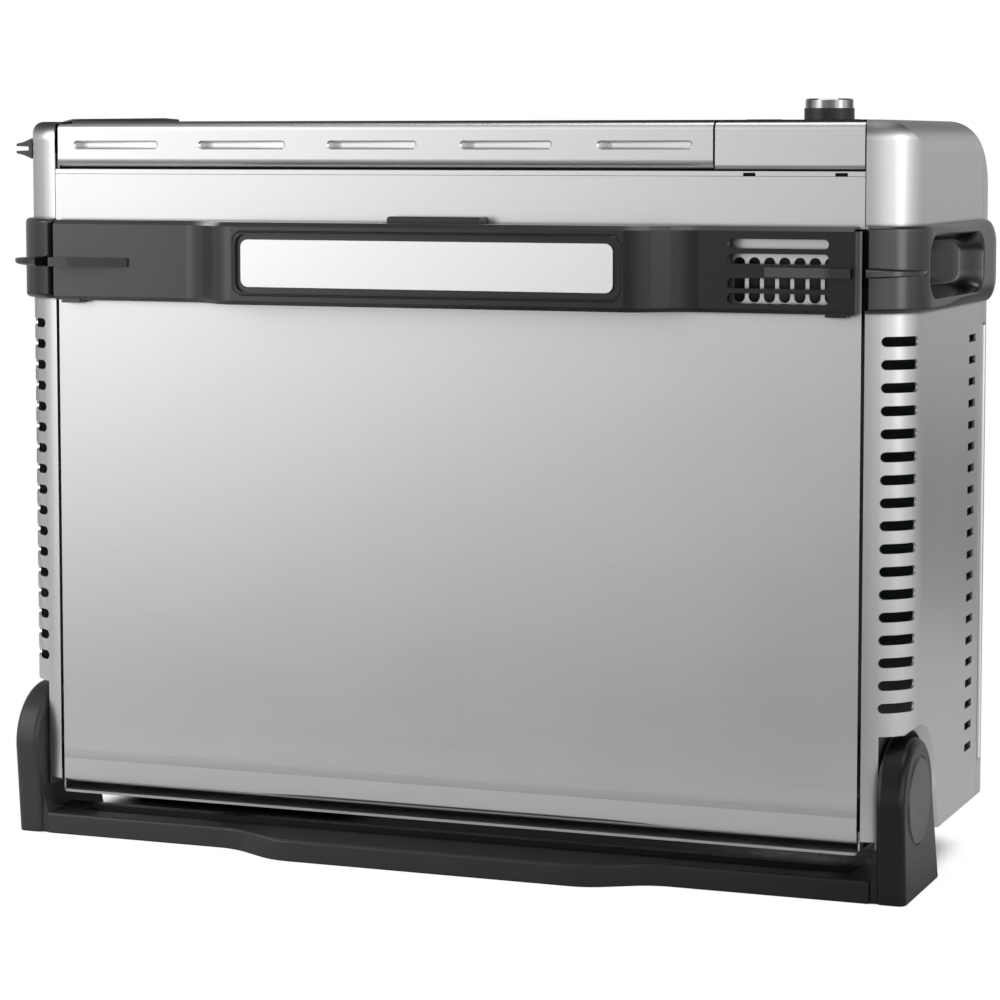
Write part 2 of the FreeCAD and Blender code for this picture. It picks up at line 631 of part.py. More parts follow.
def band_centre():
    """Moulded band with its plate recess, vent slots, fins and lower tabs."""
    band = plan(band_outline(), BAND_Z0, BAND_Z1)
    bevelled = []
    for edge in band.Edges:
        if is_level(edge, BAND_Z0, PANEL_Y - 2) or is_level(edge, BAND_Z1, PANEL_Y - 2):
            if edge.BoundBox.XLength > 0.5:
                bevelled.append(edge)
    band = band.makeChamfer(BAND_BEVEL, bevelled)
    behind = PANEL_Y + 1
    room = [(-136, behind, 0), (-136, PANEL_Y - 5.5, 8), (-111, BAND_MID_Y + 5, 8)]
    hollow = plan(room + [(-x, y, radius) for x, y, radius in reversed(room)], BAND_Z0 + 4, BAND_Z1 - 9)
    vent_room = box(152, 214, PANEL_Y - 5, behind, BAND_Z0 + 3.5, BAND_Z1 - 4.5)
    half = PLATE_HALF + 3.2
    recess = front_plate(-half, half, PLATE_Z0 - 3, PLATE_Z1 + 3, 5.5, BAND_MID_Y - 1, BAND_MID_Y + 2.2)
    slots = [front_plate(157, 208.8, z0, z1, 2.2, BAND_END_Y - 1, PANEL_Y) for z0, z1 in BAND_VENTS]
    latch_seat = box(-26.6, 26.6, PANEL_Y - 12, behind, BAND_Z1 - 8.2, BAND_Z1 + 1)
    band = band.cut([hollow, vent_room, recess, latch_seat] + slots)
    tab = box(206.7, 217.6, BAND_END_Y + 1.5, PANEL_Y - 0.05, BAND_Z0 - 1.5, BAND_Z0 + 1)
    return joined([band, band_fin(), mirrored(band_fin()), tab, mirrored(tab)])


def nameplate():
    """Bare steel plate in the band's recess."""
    return front_plate(-PLATE_HALF, PLATE_HALF, PLATE_Z0, PLATE_Z1, 4.0, BAND_MID_Y + 0.6, BAND_MID_Y + 2.1)


def latch_tab():
    """Sliding catch that stands up out of the band's top edge, its upper front edge rounded."""
    y0 = PANEL_Y - 11.0
    z1 = BAND_Z1 + 3.4
    tab = front_plate(-26.0, 26.0, BAND_Z1 - 2.4, z1, 1.6, y0, PANEL_Y - 1.4)
    edges = [edge for edge in tab.Edges if edge.BoundBox.ZMin > z1 - 0.1 and edge.BoundBox.YMax < y0 + 0.1]
    return tab.makeFillet(1.2, edges)


# Door

def door_trim():
    """Steel strip folded round the door's lower edge, with five pressed slots."""
    y1 = PANEL_Y + 12
    outer = [(PANEL_Y, FACE_Z0, 5.0), (y1, FACE_Z0, 0), (y1, TRIM_TOP, 0), (PANEL_Y, TRIM_TOP, TRIM_R)]
    y0 = PANEL_Y + 1
    z0 = FACE_Z0 + 1
    z1 = TRIM_TOP - 1
    inner = [(y0, z0, 4.0), (y1 + 1, z0, 0), (y1 + 1, z1, 0), (y0, z1, TRIM_R - 1)]
    trim = side_profile(outer, DOOR_X0, DOOR_X1).cut(side_profile(inner, DOOR_X0 - 1, DOOR_X1 + 1))
    trim = trim.cut(box(DOOR_X0 - 1, DOOR_X1 + 1, PANEL_Y + 5, y1 + 1, z1 - 1, TRIM_TOP + 1))
    places = [SLOT_X0 + i * SLOT_PITCH for i in range(SLOTS)]
    backings = [box(x, x + SLOT_LENGTH, PANEL_Y + 0.5, PANEL_Y + 2.55, SLOT_Z0, SLOT_Z1) for x in places]
    return joined([trim] + backings).cut([pressed_slot(x) for x in places])


def pressed_slot(x0):
    """Pocket of one slot: sloped edges all round, a curved dip at its left end and a floor that rises."""
    x1 = x0 + SLOT_LENGTH
    rims = []
    for inset, y in ((-0.1, PANEL_Y - 0.1), (SLOT_EDGE, PANEL_Y + SLOT_DEPTH)):
        corners = [(x0 + inset, SLOT_Z0 + inset), (x1 - inset, SLOT_Z0 + inset)]
        corners += [(x1 - inset, SLOT_Z1 - inset), (x0 + inset, SLOT_Z1 - inset)]
        rims.append(rounded_wire([(Vector(x, y, z), 1.9 - inset) for x, z in corners]))
    pocket_shape = Part.makeLoft(rims, True, True)
    left = x0 + SLOT_EDGE
    right = x1 - SLOT_EDGE
    top_y = PANEL_Y + SLOT_DEPTH - 0.01
    deep_y = top_y + SLOT_DIP
    z = SLOT_Z0 + SLOT_EDGE
    start = Vector(left, top_y, z)
    low = Vector(left + 6.5, deep_y, z)
    end = Vector(right, top_y, z)
    edges = [Part.Arc(start, Vector(left + 2.9, top_y + 0.72 * SLOT_DIP, z), low), Part.LineSegment(low, end)]
    edges.append(Part.LineSegment(end, start))
    floor_height = SLOT_Z1 - SLOT_Z0 - 2 * SLOT_EDGE
    dip = Part.Face(Part.Wire([edge.toShape() for edge in edges])).extrude(Vector(0, 0, floor_height))
    return pocket_shape.fuse(dip)


def door_frame():
    """Folded pan of the door behind the trim and glass, with the window's well and the pins' bosses."""
    y0 = PANEL_Y + 2.6
    z0 = FACE_Z0 + 1.1
    z1 = GLASS_TOP - GLASS_T - 0.1
    floor_z = FACE_Z0 + 3.9
    wall = 1.4
    boss = 9.0
    x0 = DOOR_X0 + 0.3
    x1 = DOOR_X1 - 0.3
    pan = side_profile([(y0, z0, 3.0), (FACE_TOP_Y, z0, 3), (FACE_TOP_Y, z1, 0), (y0, z1, 2.0)], x0, x1)
    pan = pan.cut(box(x0 + wall, x1 - wall, y0 + wall, FACE_TOP_Y - wall, floor_z, z1 + 1))
    well = box(-199, 115, 5, 95, floor_z - 1, z1)
    bosses = [box(x, x + boss, y0, y0 + boss, z0 + 1, z1 - 8) for x in (x0, x1 - boss)]
    window = top_plate(-196, 112, 8, 92, 6, FACE_Z0, GLASS_TOP)
    inner_seat = top_plate(-206.2, 122.2, -2.2, 102.2, 4, FACE_Z0, FACE_Z0 + 3.2)
    bore_r = DOOR_PIN_R + SMALL_FIT
    bore_places = (DOOR_X0 - 1, DOOR_X1 - boss - 1)
    bores = [rod_x(x, x + boss + 2, DOOR_AXIS_Y, DOOR_AXIS_Z, bore_r) for x in bore_places]
    return joined([pan, well] + bosses).cut([window, inner_seat] + bores)


def door_outer_glass():
    """Black-edged outer pane that forms the oven's front."""
    x0 = DOOR_X0 + 4.2
    x1 = DOOR_X1 - 0.4
    return top_plate(x0, x1, PANEL_Y + 5.2, FACE_TOP_Y, 2.0, GLASS_TOP - GLASS_T, GLASS_TOP)


def door_inner_glass():
    """Inner pane let into the pan."""
    return top_plate(-206, 122, -2, 102, 4, FACE_Z0, FACE_Z0 + 3.0)


def door_gasket():
    """Heat seal round the mouth of the cavity, carried by the door."""
    z0 = FRAME_Z1 + 0.05
    ring = top_plate(-217, 133, -13, 111, 8, z0, FACE_Z0)
    return ring.cut(top_plate(-208, 124, -4, 104, 5, z0 - 1, FACE_Z0 + 1))


def on_top_curve(radius, degrees):
    """Point on a circle about the top curve's centre, the angle counted from straight up towards the rear."""
    angle = math.radians(degrees)
    centre_y = BACK_Y - TOP_CURVE_R
    centre_z = FRONT_Z - TOP_CURVE_R
    return Vector(PULL_X0, centre_y + radius * math.sin(angle), centre_z + radius * math.cos(angle))


def door_pull():
    """Curved lip along the door's upper edge that carries on the cover's curve over a finger scoop."""
    outer = TOP_CURVE_R
    inner = TOP_CURVE_R - PULL_T
    y0 = FACE_TOP_Y + SMALL_FIT
    foot_y = y0 + PULL_T
    foot_z = 371.4
    half_angle = PULL_ANGLE / 2
    nose = on_top_curve((outer + inner) / 2, PULL_ANGLE + 3.4)
    corners = [(foot_y, FRONT_Z - PULL_T), (foot_y, foot_z), (y0, foot_z), (y0, FRONT_Z)]
    foot = [on_top_curve(inner, 0)] + [Vector(PULL_X0, y, z) for y, z in corners] + [on_top_curve(outer, 0)]
    edges = [Part.LineSegment(a, b) for a, b in zip(foot, foot[1:])]
    edges.append(Part.Arc(foot[-1], on_top_curve(outer, half_angle), on_top_curve(outer, PULL_ANGLE)))
    edges.append(Part.Arc(on_top_curve(outer, PULL_ANGLE), nose, on_top_curve(inner, PULL_ANGLE)))
    edges.append(Part.Arc(on_top_curve(inner, PULL_ANGLE), on_top_curve(inner, half_angle), foot[0]))
    wire = Part.Wire([edge.toShape() for edge in edges])
    return Part.Face(wire).extrude(Vector(PULL_X1 - PULL_X0, 0, 0))


def door_end_cap():
    """Dark cap along the door's left edge, rising a little towards the door's upper edge."""
    profile = [(PANEL_Y + 1.5, 371, 0), (FACE_TOP_Y, 371, 0), (FACE_TOP_Y, 390.2, 0.6), (98, 390.8, 20),
               (-5, 389.6, 12), (PANEL_Y + 1.5, 387.6, 3)]
    cap = side_profile(profile, DOOR_X0 - 0.1, DOOR_X0 + 3.9)
    shelf = box(DOOR_X0, DOOR_X0 + 5, PANEL_Y, FACE_TOP_Y + 1, 370, GLASS_TOP - GLASS_T)
    hem = box(DOOR_X0, DOOR_X0 + 5, PANEL_Y, PANEL_Y + 5, 370, TRIM_TOP)
    return cap.cut([shelf, hem])


def door_pins():
    """Hinge pins of the door: one in an ear by the left corner, one in the control housing."""
    left = rod_x(DOOR_X0 - 1.7, DOOR_X0 + 8, DOOR_AXIS_Y, DOOR_AXIS_Z, DOOR_PIN_R)
    ear_y = PANEL_Y + 2.2
    ear_top = DOOR_AXIS_Z + 4
    outline = [(ear_y, FRAME_Z1, 0), (ear_y + 12, FRAME_Z1, 0), (ear_y + 8, ear_top, 4), (ear_y, ear_top, 2)]
    ear = side_profile(outline, DOOR_X0 - 1.7, DOOR_X0 - 0.4)
    right = rod_x(DOOR_X1 - 8, CONTROL_X0 + 1.4, DOOR_AXIS_Y, DOOR_AXIS_Z, DOOR_PIN_R)
    return grouped([joined([left, ear]), right])


def side_lug_left():
    """Small two-leaf guard that flares out of the left side next to the door's hinge."""
    z_mid = 373.6
    x0 = -HALF_W
    tip_x = x0 - 9.5
    y0 = -4.0
    y1 = 9.0
    leaves = []
    for sign in (-1, 1):
        outline = [(x0, 0.9, 0), (tip_x, 1.3, 0), (tip_x, 2.6, 0.6), (x0 - 5.0, 3.6, 6), (x0, 5.6, 0)]
        corners = [(x, z_mid + sign * rise, radius) for x, rise, radius in outline]
        leaves.append(front_profile(corners, y0, y1))
    web = box(x0 - 2.0, x0, y0, y1, z_mid - 1, z_mid + 1)
    return joined(leaves + [web])


# Controls

def button_outline(name, grow, z0, z1):
    """Pill-shaped prism for one button or its hole."""
    x, y = BUTTONS[name]
    half_x = BUTTON_HALF[0] + grow
    half_y = BUTTON_HALF[1] + grow
    return top_plate(x - half_x, x + half_x, y - half_y, y + half_y, half_y * 0.98, z0, z1)


def control_housing():
    """Steel cover beside the door that carries the controls."""
    z0 = FACE_Z0 - 0.4
    wall = 1.2
    y0 = PANEL_Y + wall
    y1 = FACE_TOP_Y - wall
    z1 = TRIM_TOP - 1.4
    outer = [(PANEL_Y, z0, 3.0), (FACE_TOP_Y, z0, 0), (FACE_TOP_Y, TRIM_TOP, 0), (PANEL_Y, TRIM_TOP, TRIM_R)]
    inner = [(y0, z0 + wall, 3.0 - wall), (y1, z0 + wall, 0), (y1, z1, 0), (y0, z1, TRIM_R - wall)]
    cover = side_profile(outer, CONTROL_X0, CONTROL_X1)
    cover = cover.cut(side_profile(inner, CONTROL_X0 + wall, CONTROL_X1 - wall))
    low = TRIM_TOP - 3
    high = TRIM_TOP + 2
    cutters = [rod_z(low, high, DIAL_X, DIAL_Y, DIAL_R + 0.6)]
    cutters += [button_outline(name, 0.6, low, high) for name in BUTTONS]
    cutters.append(box(160, 212, 82, 106, low, high))
    cutters.append(box(152, 220, PANEL_Y + 10, FACE_TOP_Y - 6, z0 - 1, z0 + 2))
    cutters.append(rod_x(CONTROL_X0 - 1, CONTROL_X0 + 2, DOOR_AXIS_Y, DOOR_AXIS_Z, DOOR_PIN_R + 0.02))
    return cover.cut(cutters)


def control_glass():
    """Black glass over the controls, with holes for the dial and buttons."""
    pane = top_plate(CONTROL_X0 + 0.5, CONTROL_X1 - 0.5, PANEL_Y + 4.2, FACE_TOP_Y, 2.0, TRIM_TOP, GLASS_TOP)
    cutters = [rod_z(TRIM_TOP - 1, GLASS_TOP + 1, DIAL_X, DIAL_Y, DIAL_R + 0.5)]
    cutters += [button_outline(name, 0.4, TRIM_TOP - 1, GLASS_TOP + 1) for name in BUTTONS]
    return pane.cut(cutters)


def display_window():
    """Display module between the board and the glass."""
    return box(161, 211, 83, 105, 372.62, TRIM_TOP - 0.1)


def control_board():
    """Circuit board that carries the display, switches and the dial's encoder."""
    board = box(152, 220, -14, 110, 371.0, 372.6)
    encoder = rod_z(372.6, 380.5, DIAL_X, DIAL_Y, 7.0).cut(rod_z(372.6, 390, DIAL_X, DIAL_Y, 3.15))
    switches = [box(x - 3, x + 3, y - 3, y + 3, 372.6, 379.4) for x, y in BUTTONS.values()]
    return joined([board, encoder] + switches)


def power_board():
    """Relay and supply board on the compartment's outer side."""
    board_x = 219.0
    board = box(board_x, board_x + 1.6, 14, 104, 120, 300)
    relays = [box(199, board_x, 24, 46, 140, 170), box(203, board_x, 60, 84, 140, 165)]
    transformer = box(201, board_x, 30, 60, 200, 240)
    capacitor = rod_x(199, board_x, 86, 215, 8.0)
    return joined([board, transformer, capacitor] + relays)


def dial_shaft():
    """Push shaft of the dial, with a flange."""
    shaft = rod_z(374.6, 392.5, DIAL_X, DIAL_Y, 3.0)
    flange = rod_z(382.2, 383.4, DIAL_X, DIAL_Y, 6.0)
    return joined([shaft, flange])


def dial_knob():
    """Black knob, hollow underneath and bored for the shaft."""
    knob = rod_z(386.4, CAP_Z0, DIAL_X, DIAL_Y, DIAL_R)
    knob = knob.cut(rod_z(380, 391.4, DIAL_X, DIAL_Y, DIAL_R - 2.0).cut(rod_z(380, 392, DIAL_X, DIAL_Y, 5.2)))
    return knob.cut(rod_z(380, 392.6, DIAL_X, DIAL_Y, 3.05))


def dial_cap():
    """Chromed cap of the knob, bevelled at its rim."""
    cap = rod_z(CAP_Z0, DIAL_TOP, DIAL_X, DIAL_Y, DIAL_R - 0.6)
    rim = [edge for edge in cap.Edges if edge.BoundBox.ZMin > DIAL_TOP - 0.1]
    return cap.makeChamfer(0.8, rim)


def button(name):
    """Push button with its stem."""
    x, y = BUTTONS[name]
    head = button_outline(name, 0, TRIM_TOP - 1.8, GLASS_TOP + 0.3)
    stem = box(x - 2, x + 2, y - 2, y + 2, 380.4, TRIM_TOP - 1.7)
    return joined([head, stem])


# Cavity

def cavity_side(x0, x1, hole):
    """One end wall of the cavity, with or without the fan's opening."""
    wall = box(x0, x1, CAVITY_Y0, CAVITY_Y1, CAVITY_Z0, FRAME_Z0 - 0.1)
    if hole:
        wall = wall.cut(rod_x(x0 - 1, x1 + 1, FAN_Y, FAN_Z, FAN_R + 4))
        wall = wall.cut([rod_x(x0 - 1, x1 + 1, y, z, 4.3) for y, z in heater_runs()])
    return wall


def cavity_wrap():
    """Bent sheet of the cavity: the wall that is uppermost in use and the wall opposite the door."""
    outer_y = CAVITY_Y1 + LINER_T
    outer_z = CAVITY_Z0 - LINER_T
    end_z = FRAME_Z0 - 0.1
    corners = [(CAVITY_Y0, outer_z, 0), (outer_y, outer_z, 9.0), (outer_y, end_z, 0), (CAVITY_Y1, end_z, 0)]
    corners += [(CAVITY_Y1, CAVITY_Z0, 8.0), (CAVITY_Y0, CAVITY_Z0, 0)]
    return side_profile(corners, CAVITY_X0 + 0.02, CAVITY_X1 - 0.02)


def rack_rails():
    """Ledges on both end walls that carry the wire rack."""
    rails = []
    for y in (26.0, 52.0, 78.0):
        rails.append(box(CAVITY_X0 + 0.02, CAVITY_X0 + 7, y, y + 1.6, 60, 352))
        rails.append(box(CAVITY_X1 - 7, CAVITY_X1 - 0.02, y, y + 1.6, 60, FAN_Z - FAN_R - 12))
        rails.append(box(CAVITY_X1 - 7, CAVITY_X1 - 0.02, y, y + 1.6, FAN_Z + FAN_R + 12, 352))
    return grouped(rails)


def wire_rack():
    """Chromed wire rack: a rectangular frame wire with cross wires."""
    x0 = CAVITY_X0 + 6.0
    x1 = CAVITY_X1 - 6.0
    z0 = 62.0
    z1 = 336.0
    y = 55.8
    frame = top_wire_loop(x0, x1, z0, z1, y, 2.0)
    bars = [rod_z(z0, z1, x0 + (i + 1) * (x1 - x0) / 13, y, 1.3) for i in range(12)]
    return joined([frame] + bars)


def top_wire_loop(x0, x1, z0, z1, y, radius):
    """Rectangle of round wire in the XZ plane, the long sides lapped over the short ones."""
    sides = [rod_x(x0 - radius, x1 + radius, y, z0, radius), rod_x(x0 - radius, x1 + radius, y, z1, radius)]
    sides += [rod_z(z0, z1, x0, y, radius), rod_z(z0, z1, x1, y, radius)]
    return joined(sides)


def crumb_tray():
    """Shallow tray above the cavity's floor."""
    wall = 0.8
    x0 = -202.0
    x1 = 118.0
    y0 = -6.9
    z0 = 50.0
    z1 = 336.0
    outer = box(x0, x1, y0, y0 + 6.0, z0, z1)
    return outer.cut(box(x0 + wall, x1 - wall, y0 + wall, 0, z0 + wall, z1 - wall))


def heater_runs():
    """Places in (y, z) where heater rods pass through the right-hand wall."""
    return [(y, z) for y in HEATER_Y for z in HEATER_Z]


def heater_rods():
    """Straight sheathed heater rods across the cavity, each held by a bush in the right wall."""
    return grouped([rod_x(CAVITY_X0 + 0.5, CAVITY_X1 + 14, y, z, HEATER_R) for y, z in heater_runs()])


def ceramic_bushes():
    """Insulating rings where the heater rods pass the wall."""
    rings = []
    for y, z in heater_runs():
        ring = rod_x(CAVITY_X1 - 1, CAVITY_X1 + 8, y, z, HEATER_R + 1.1)
        ring = ring.cut(rod_x(CAVITY_X1 - 2, CAVITY_X1 + 9, y, z, HEATER_R + 0.1))
        rings.append(ring)
    return grouped(rings)


def fan_guard():
    """Disc over the fan's opening with a ring of radial slots."""
    disc = rod_x(CAVITY_X1 - 1.2, CAVITY_X1 - 0.05, FAN_Y, FAN_Z, FAN_R + 9)
    slots = []
    for i in range(18):
        slot = box(CAVITY_X1 - 3, CAVITY_X1 + 2, FAN_Y + 11, FAN_Y + FAN_R - 3, FAN_Z - 1.8, FAN_Z + 1.8)
        slot.rotate(Vector(0, FAN_Y, FAN_Z), AXIS_X, 20 * i)
        slots.append(slot)
    return disc.cut(slots)


def fan_wheel():
    """Radial fan: a back disc with straight blades round a hub."""
    disc = rod_x(157.0, 158.2, FAN_Y, FAN_Z, FAN_R)
    hub = rod_x(146.0, 158.2, FAN_Y, FAN_Z, 7.0)
    blades = []
    for i in range(10):
        blade = box(144.0, 157.5, FAN_Y + 6, FAN_Y + FAN_R - 1, FAN_Z - 0.6, FAN_Z + 0.6)
        blade.rotate(Vector(0, FAN_Y, FAN_Z), AXIS_X, 36 * i)
        blades.append(blade)
    wheel = joined([disc, hub] + blades)
    return wheel.cut(rod_x(140, 160, FAN_Y, FAN_Z, 3.05))


def fan_motor():
    """Motor with its shaft and mounting plate."""
    can = rod_x(166.0, 194.0, FAN_Y, FAN_Z, 24.0)
    plate = box(164.5, 166.2, FAN_Y - 34, FAN_Y + 34, FAN_Z - 14, FAN_Z + 14)
    shaft = rod_x(147.0, 196.0, FAN_Y, FAN_Z, 3.0)
    return joined([can, plate, shaft])


def fan_shroud():
    """Round duct that carries the motor plate off the cavity wall."""
    ring = rod_x(CAVITY_X1 + LINER_T + 0.02, 164.4, FAN_Y, FAN_Z, FAN_R + 8)
    return ring.cut(rod_x(CAVITY_X1, 163.2, FAN_Y, FAN_Z, FAN_R + 6)).cut(rod_x(160, 166, FAN_Y, FAN_Z, 12))


def oven_lamp():
    """Bevelled lamp lens under the roof of the cavity."""
    lens = rod_y(CAVITY_Y1 - 6, CAVITY_Y1 - 0.02, 60, 330, 11.0)
    rim = [edge for edge in lens.Edges if edge.BoundBox.YMax < CAVITY_Y1 - 5]
    return lens.makeChamfer(3.0, rim)


def temperature_probe():
    """Thin sensor rod on the left wall of the cavity."""
    probe = rod_x(CAVITY_X0 + 0.02, CAVITY_X0 + 30, 106, 70, 1.6)
    collar = rod_x(CAVITY_X0 + 0.02, CAVITY_X0 + 3, 106, 70, 4.0)
    return joined([probe, collar])


# Rear of the oven, lowest when upright

def rear_spacers():
    """Moulded stand-offs that keep the oven off the wall in use and carry it when upright."""
    return grouped([rod_z(3.0, REAR_PLATE_Z0 - 0.02, x, y, 10.0) for x, y in REAR_FEET])


def rear_spacer_tips():
    """Rubber tips of the stand-offs, level with the base's underside."""
    return grouped([rod_z(0, 3.0, x, y, 11.0) for x, y in REAR_FEET])


def cord_gland():
    """Strain relief where the mains lead would leave the rear plate."""
    collar = rod_z(19.4, REAR_PLATE_Z0 - 0.02, CORD_X, CORD_Y, 10.0)
    neck = rod_z(19.4, REAR_PLATE_Z1 + 1.6, CORD_X, CORD_Y, 5.9)
    return joined([collar, neck]).cut(rod_z(15, 30, CORD_X, CORD_Y, 3.6))


def pairs(name, right):
    """A right-hand piece and its mirror image, by node name."""
    return {name + "_right": right, name + "_left": mirrored(right)}


def both_sides(right):
    """A right-hand piece and its mirror image in one node."""
    return grouped([right, mirrored(right)])


def all_parts():
    """Every node's shape by name."""
    sheet = sheet_covers()
    parts = {}
    parts.update(pairs("side_cover", side_cover_right(sheet)))
    parts["top_cover"] = top_cover(sheet)
    parts["underside_strip"] = underside_strip()
    parts["back_panel"] = back_panel()
    parts["front_frame"] = front_frame()
    parts["base_bar"] = base_bar()
    parts["base_pads"] = base_pads()
    parts.update(pairs("base_arm", base_arm_right()))
    parts["pivot_caps"] = both_sides(pivot_cap_right())
    parts["pivot_pins"] = both_sides(pivot_pin_right())
    parts["pivot_brackets"] = both_sides(pivot_bracket_right())
    parts["friction_washers"] = both_sides(friction_washer_right())
    parts.update(pairs("side_handle", side_handle_right()))
    parts["access_panel"] = access_panel()
    parts["access_inner"] = access_inner()
    parts["access_pins"] = both_sides(access_pin_right())
    parts["band_centre"] = band_centre()
    parts["nameplate"] = nameplate()
    parts["latch_tab"] = latch_tab()
    parts["door_trim"] = door_trim()
    parts["door_frame"] = door_frame()
    parts["door_outer_glass"] = door_outer_glass()
    parts["door_inner_glass"] = door_inner_glass()
    parts["door_gasket"] = door_gasket()
    parts["door_pull"] = door_pull()
    parts["door_end_cap"] = door_end_cap()
    parts["door_pins"] = door_pins()
    parts["side_lug_left"] = side_lug_left()
    parts["control_housing"] = control_housing()
    parts["control_glass"] = control_glass()
    parts["display_window"] = display_window()
    parts["control_board"] = control_board()
    parts["power_board"] = power_board()
    parts["dial_shaft"] = dial_shaft()
    parts["dial_knob"] = dial_knob()
    parts["dial_cap"] = dial_cap()
    for name in BUTTONS:
        parts["button_" + name] = button(name)
    parts["cavity_left_wall"] = cavity_side(CAVITY_X0 - LINER_T, CAVITY_X0, False)
    parts["cavity_right_wall"] = cavity_side(CAVITY_X1, CAVITY_X1 + LINER_T, True)
    parts["cavity_wrap"] = cavity_wrap()
    parts["rack_rails"] = rack_rails()
    parts["wire_rack"] = wire_rack()
    parts["crumb_tray"] = crumb_tray()
    parts["heater_rods"] = heater_rods()
    parts["ceramic_bushes"] = ceramic_bushes()
    parts["fan_guard"] = fan_guard()
    parts["fan_shroud"] = fan_shroud()
    parts["fan_wheel"] = fan_wheel()
    parts["fan_motor"] = fan_motor()
    parts["oven_lamp"] = oven_lamp()
    parts["temperature_probe"] = temperature_probe()
    parts["rear_spacers"] = rear_spacers()
    parts["rear_spacer_tips"] = rear_spacer_tips()
    parts["cord_gland"] = cord_gland()
    return parts


os.makedirs("parts", exist_ok=True)
for node, shape in all_parts().items():
    shape.exportStep(os.path.join("parts", node + ".step"))
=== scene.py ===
import json
import math

import bpy
import numpy as np
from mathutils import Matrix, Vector


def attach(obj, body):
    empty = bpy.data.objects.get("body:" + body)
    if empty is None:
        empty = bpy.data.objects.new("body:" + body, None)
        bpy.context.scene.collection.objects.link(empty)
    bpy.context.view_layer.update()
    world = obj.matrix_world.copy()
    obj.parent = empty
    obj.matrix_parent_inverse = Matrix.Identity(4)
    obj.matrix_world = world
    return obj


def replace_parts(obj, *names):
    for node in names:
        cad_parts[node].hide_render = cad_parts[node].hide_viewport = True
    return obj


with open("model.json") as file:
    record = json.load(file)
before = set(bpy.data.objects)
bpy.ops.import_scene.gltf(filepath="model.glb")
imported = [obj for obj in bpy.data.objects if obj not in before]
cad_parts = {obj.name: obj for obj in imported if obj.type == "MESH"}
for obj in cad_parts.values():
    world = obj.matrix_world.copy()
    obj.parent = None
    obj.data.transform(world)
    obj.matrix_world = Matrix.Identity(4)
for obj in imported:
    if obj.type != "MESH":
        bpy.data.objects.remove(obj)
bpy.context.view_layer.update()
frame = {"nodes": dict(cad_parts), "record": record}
nodes = frame["nodes"]
record = frame["record"]
slot_of = {part["node"]: part["material_slot"] for part in record["subparts"]}

# Places and sizes are in millimetres, unless a comment says otherwise
MM = 0.001


# Node trees

class Tree:
    """A node tree with a few short calls for building it."""

    def __init__(self, tree):
        self.tree = tree

    def node(self, kind, **settings):
        """A new node with the given settings."""
        made = self.tree.nodes.new(kind)
        for key, value in settings.items():
            setattr(made, key, value)
        return made

    def link(self, a, b):
        self.tree.links.new(a, b)

    def math(self, operation, a, b=None):
        """Result of one operation on numbers or sockets."""
        made = self.node("ShaderNodeMath", operation=operation)
        for i, value in enumerate((a, b)):
            if value is None:
                continue
            if isinstance(value, (int, float)):
                made.inputs[i].default_value = value
            else:
                self.link(value, made.inputs[i])
        return made.outputs["Value"]

    def span(self, value, low, high, from_low=0.3, from_high=0.7, smooth=False):
        """The value, brought from its range (from_low to from_high) to the range low to high."""
        made = self.node("ShaderNodeMapRange")
        if smooth:
            made.interpolation_type = "SMOOTHSTEP"
        limits = (("From Min", from_low), ("From Max", from_high), ("To Min", low), ("To Max", high))
        for key, number in limits:
            made.inputs[key].default_value = number
        self.link(value, made.inputs["Value"])
        return made.outputs["Result"]

    def tones(self, value, pairs):
        """Grey that follows pairs of (place, tone) as the value runs over the places."""
        low, high = pairs[0][0], pairs[-1][0]
        peak = max(tone for place, tone in pairs)
        ramp = self.node("ShaderNodeValToRGB")
        self.link(self.span(value, 0.0, 1.0, low, high), ramp.inputs["Fac"])
        stops = ramp.color_ramp.elements
        while len(stops) < len(pairs):
            stops.new(0.5)
        for stop, (place, tone) in zip(stops, pairs):
            stop.position = (place - low) / (high - low)
            stop.color = (tone / peak, tone / peak, tone / peak, 1)
        return self.math("MULTIPLY", ramp.outputs["Color"], peak)

    def show(self, others, camera, out):
        """Give the camera one shader, and light and reflections the other."""
        path = self.node("ShaderNodeLightPath")
        mix = self.node("ShaderNodeMixShader")
        self.link(path.outputs["Is Camera Ray"], mix.inputs[0])
        self.link(others.outputs[0], mix.inputs[1])
        self.link(camera.outputs[0], mix.inputs[2])
        self.link(mix.outputs[0], out.inputs["Surface"])


mats = {}


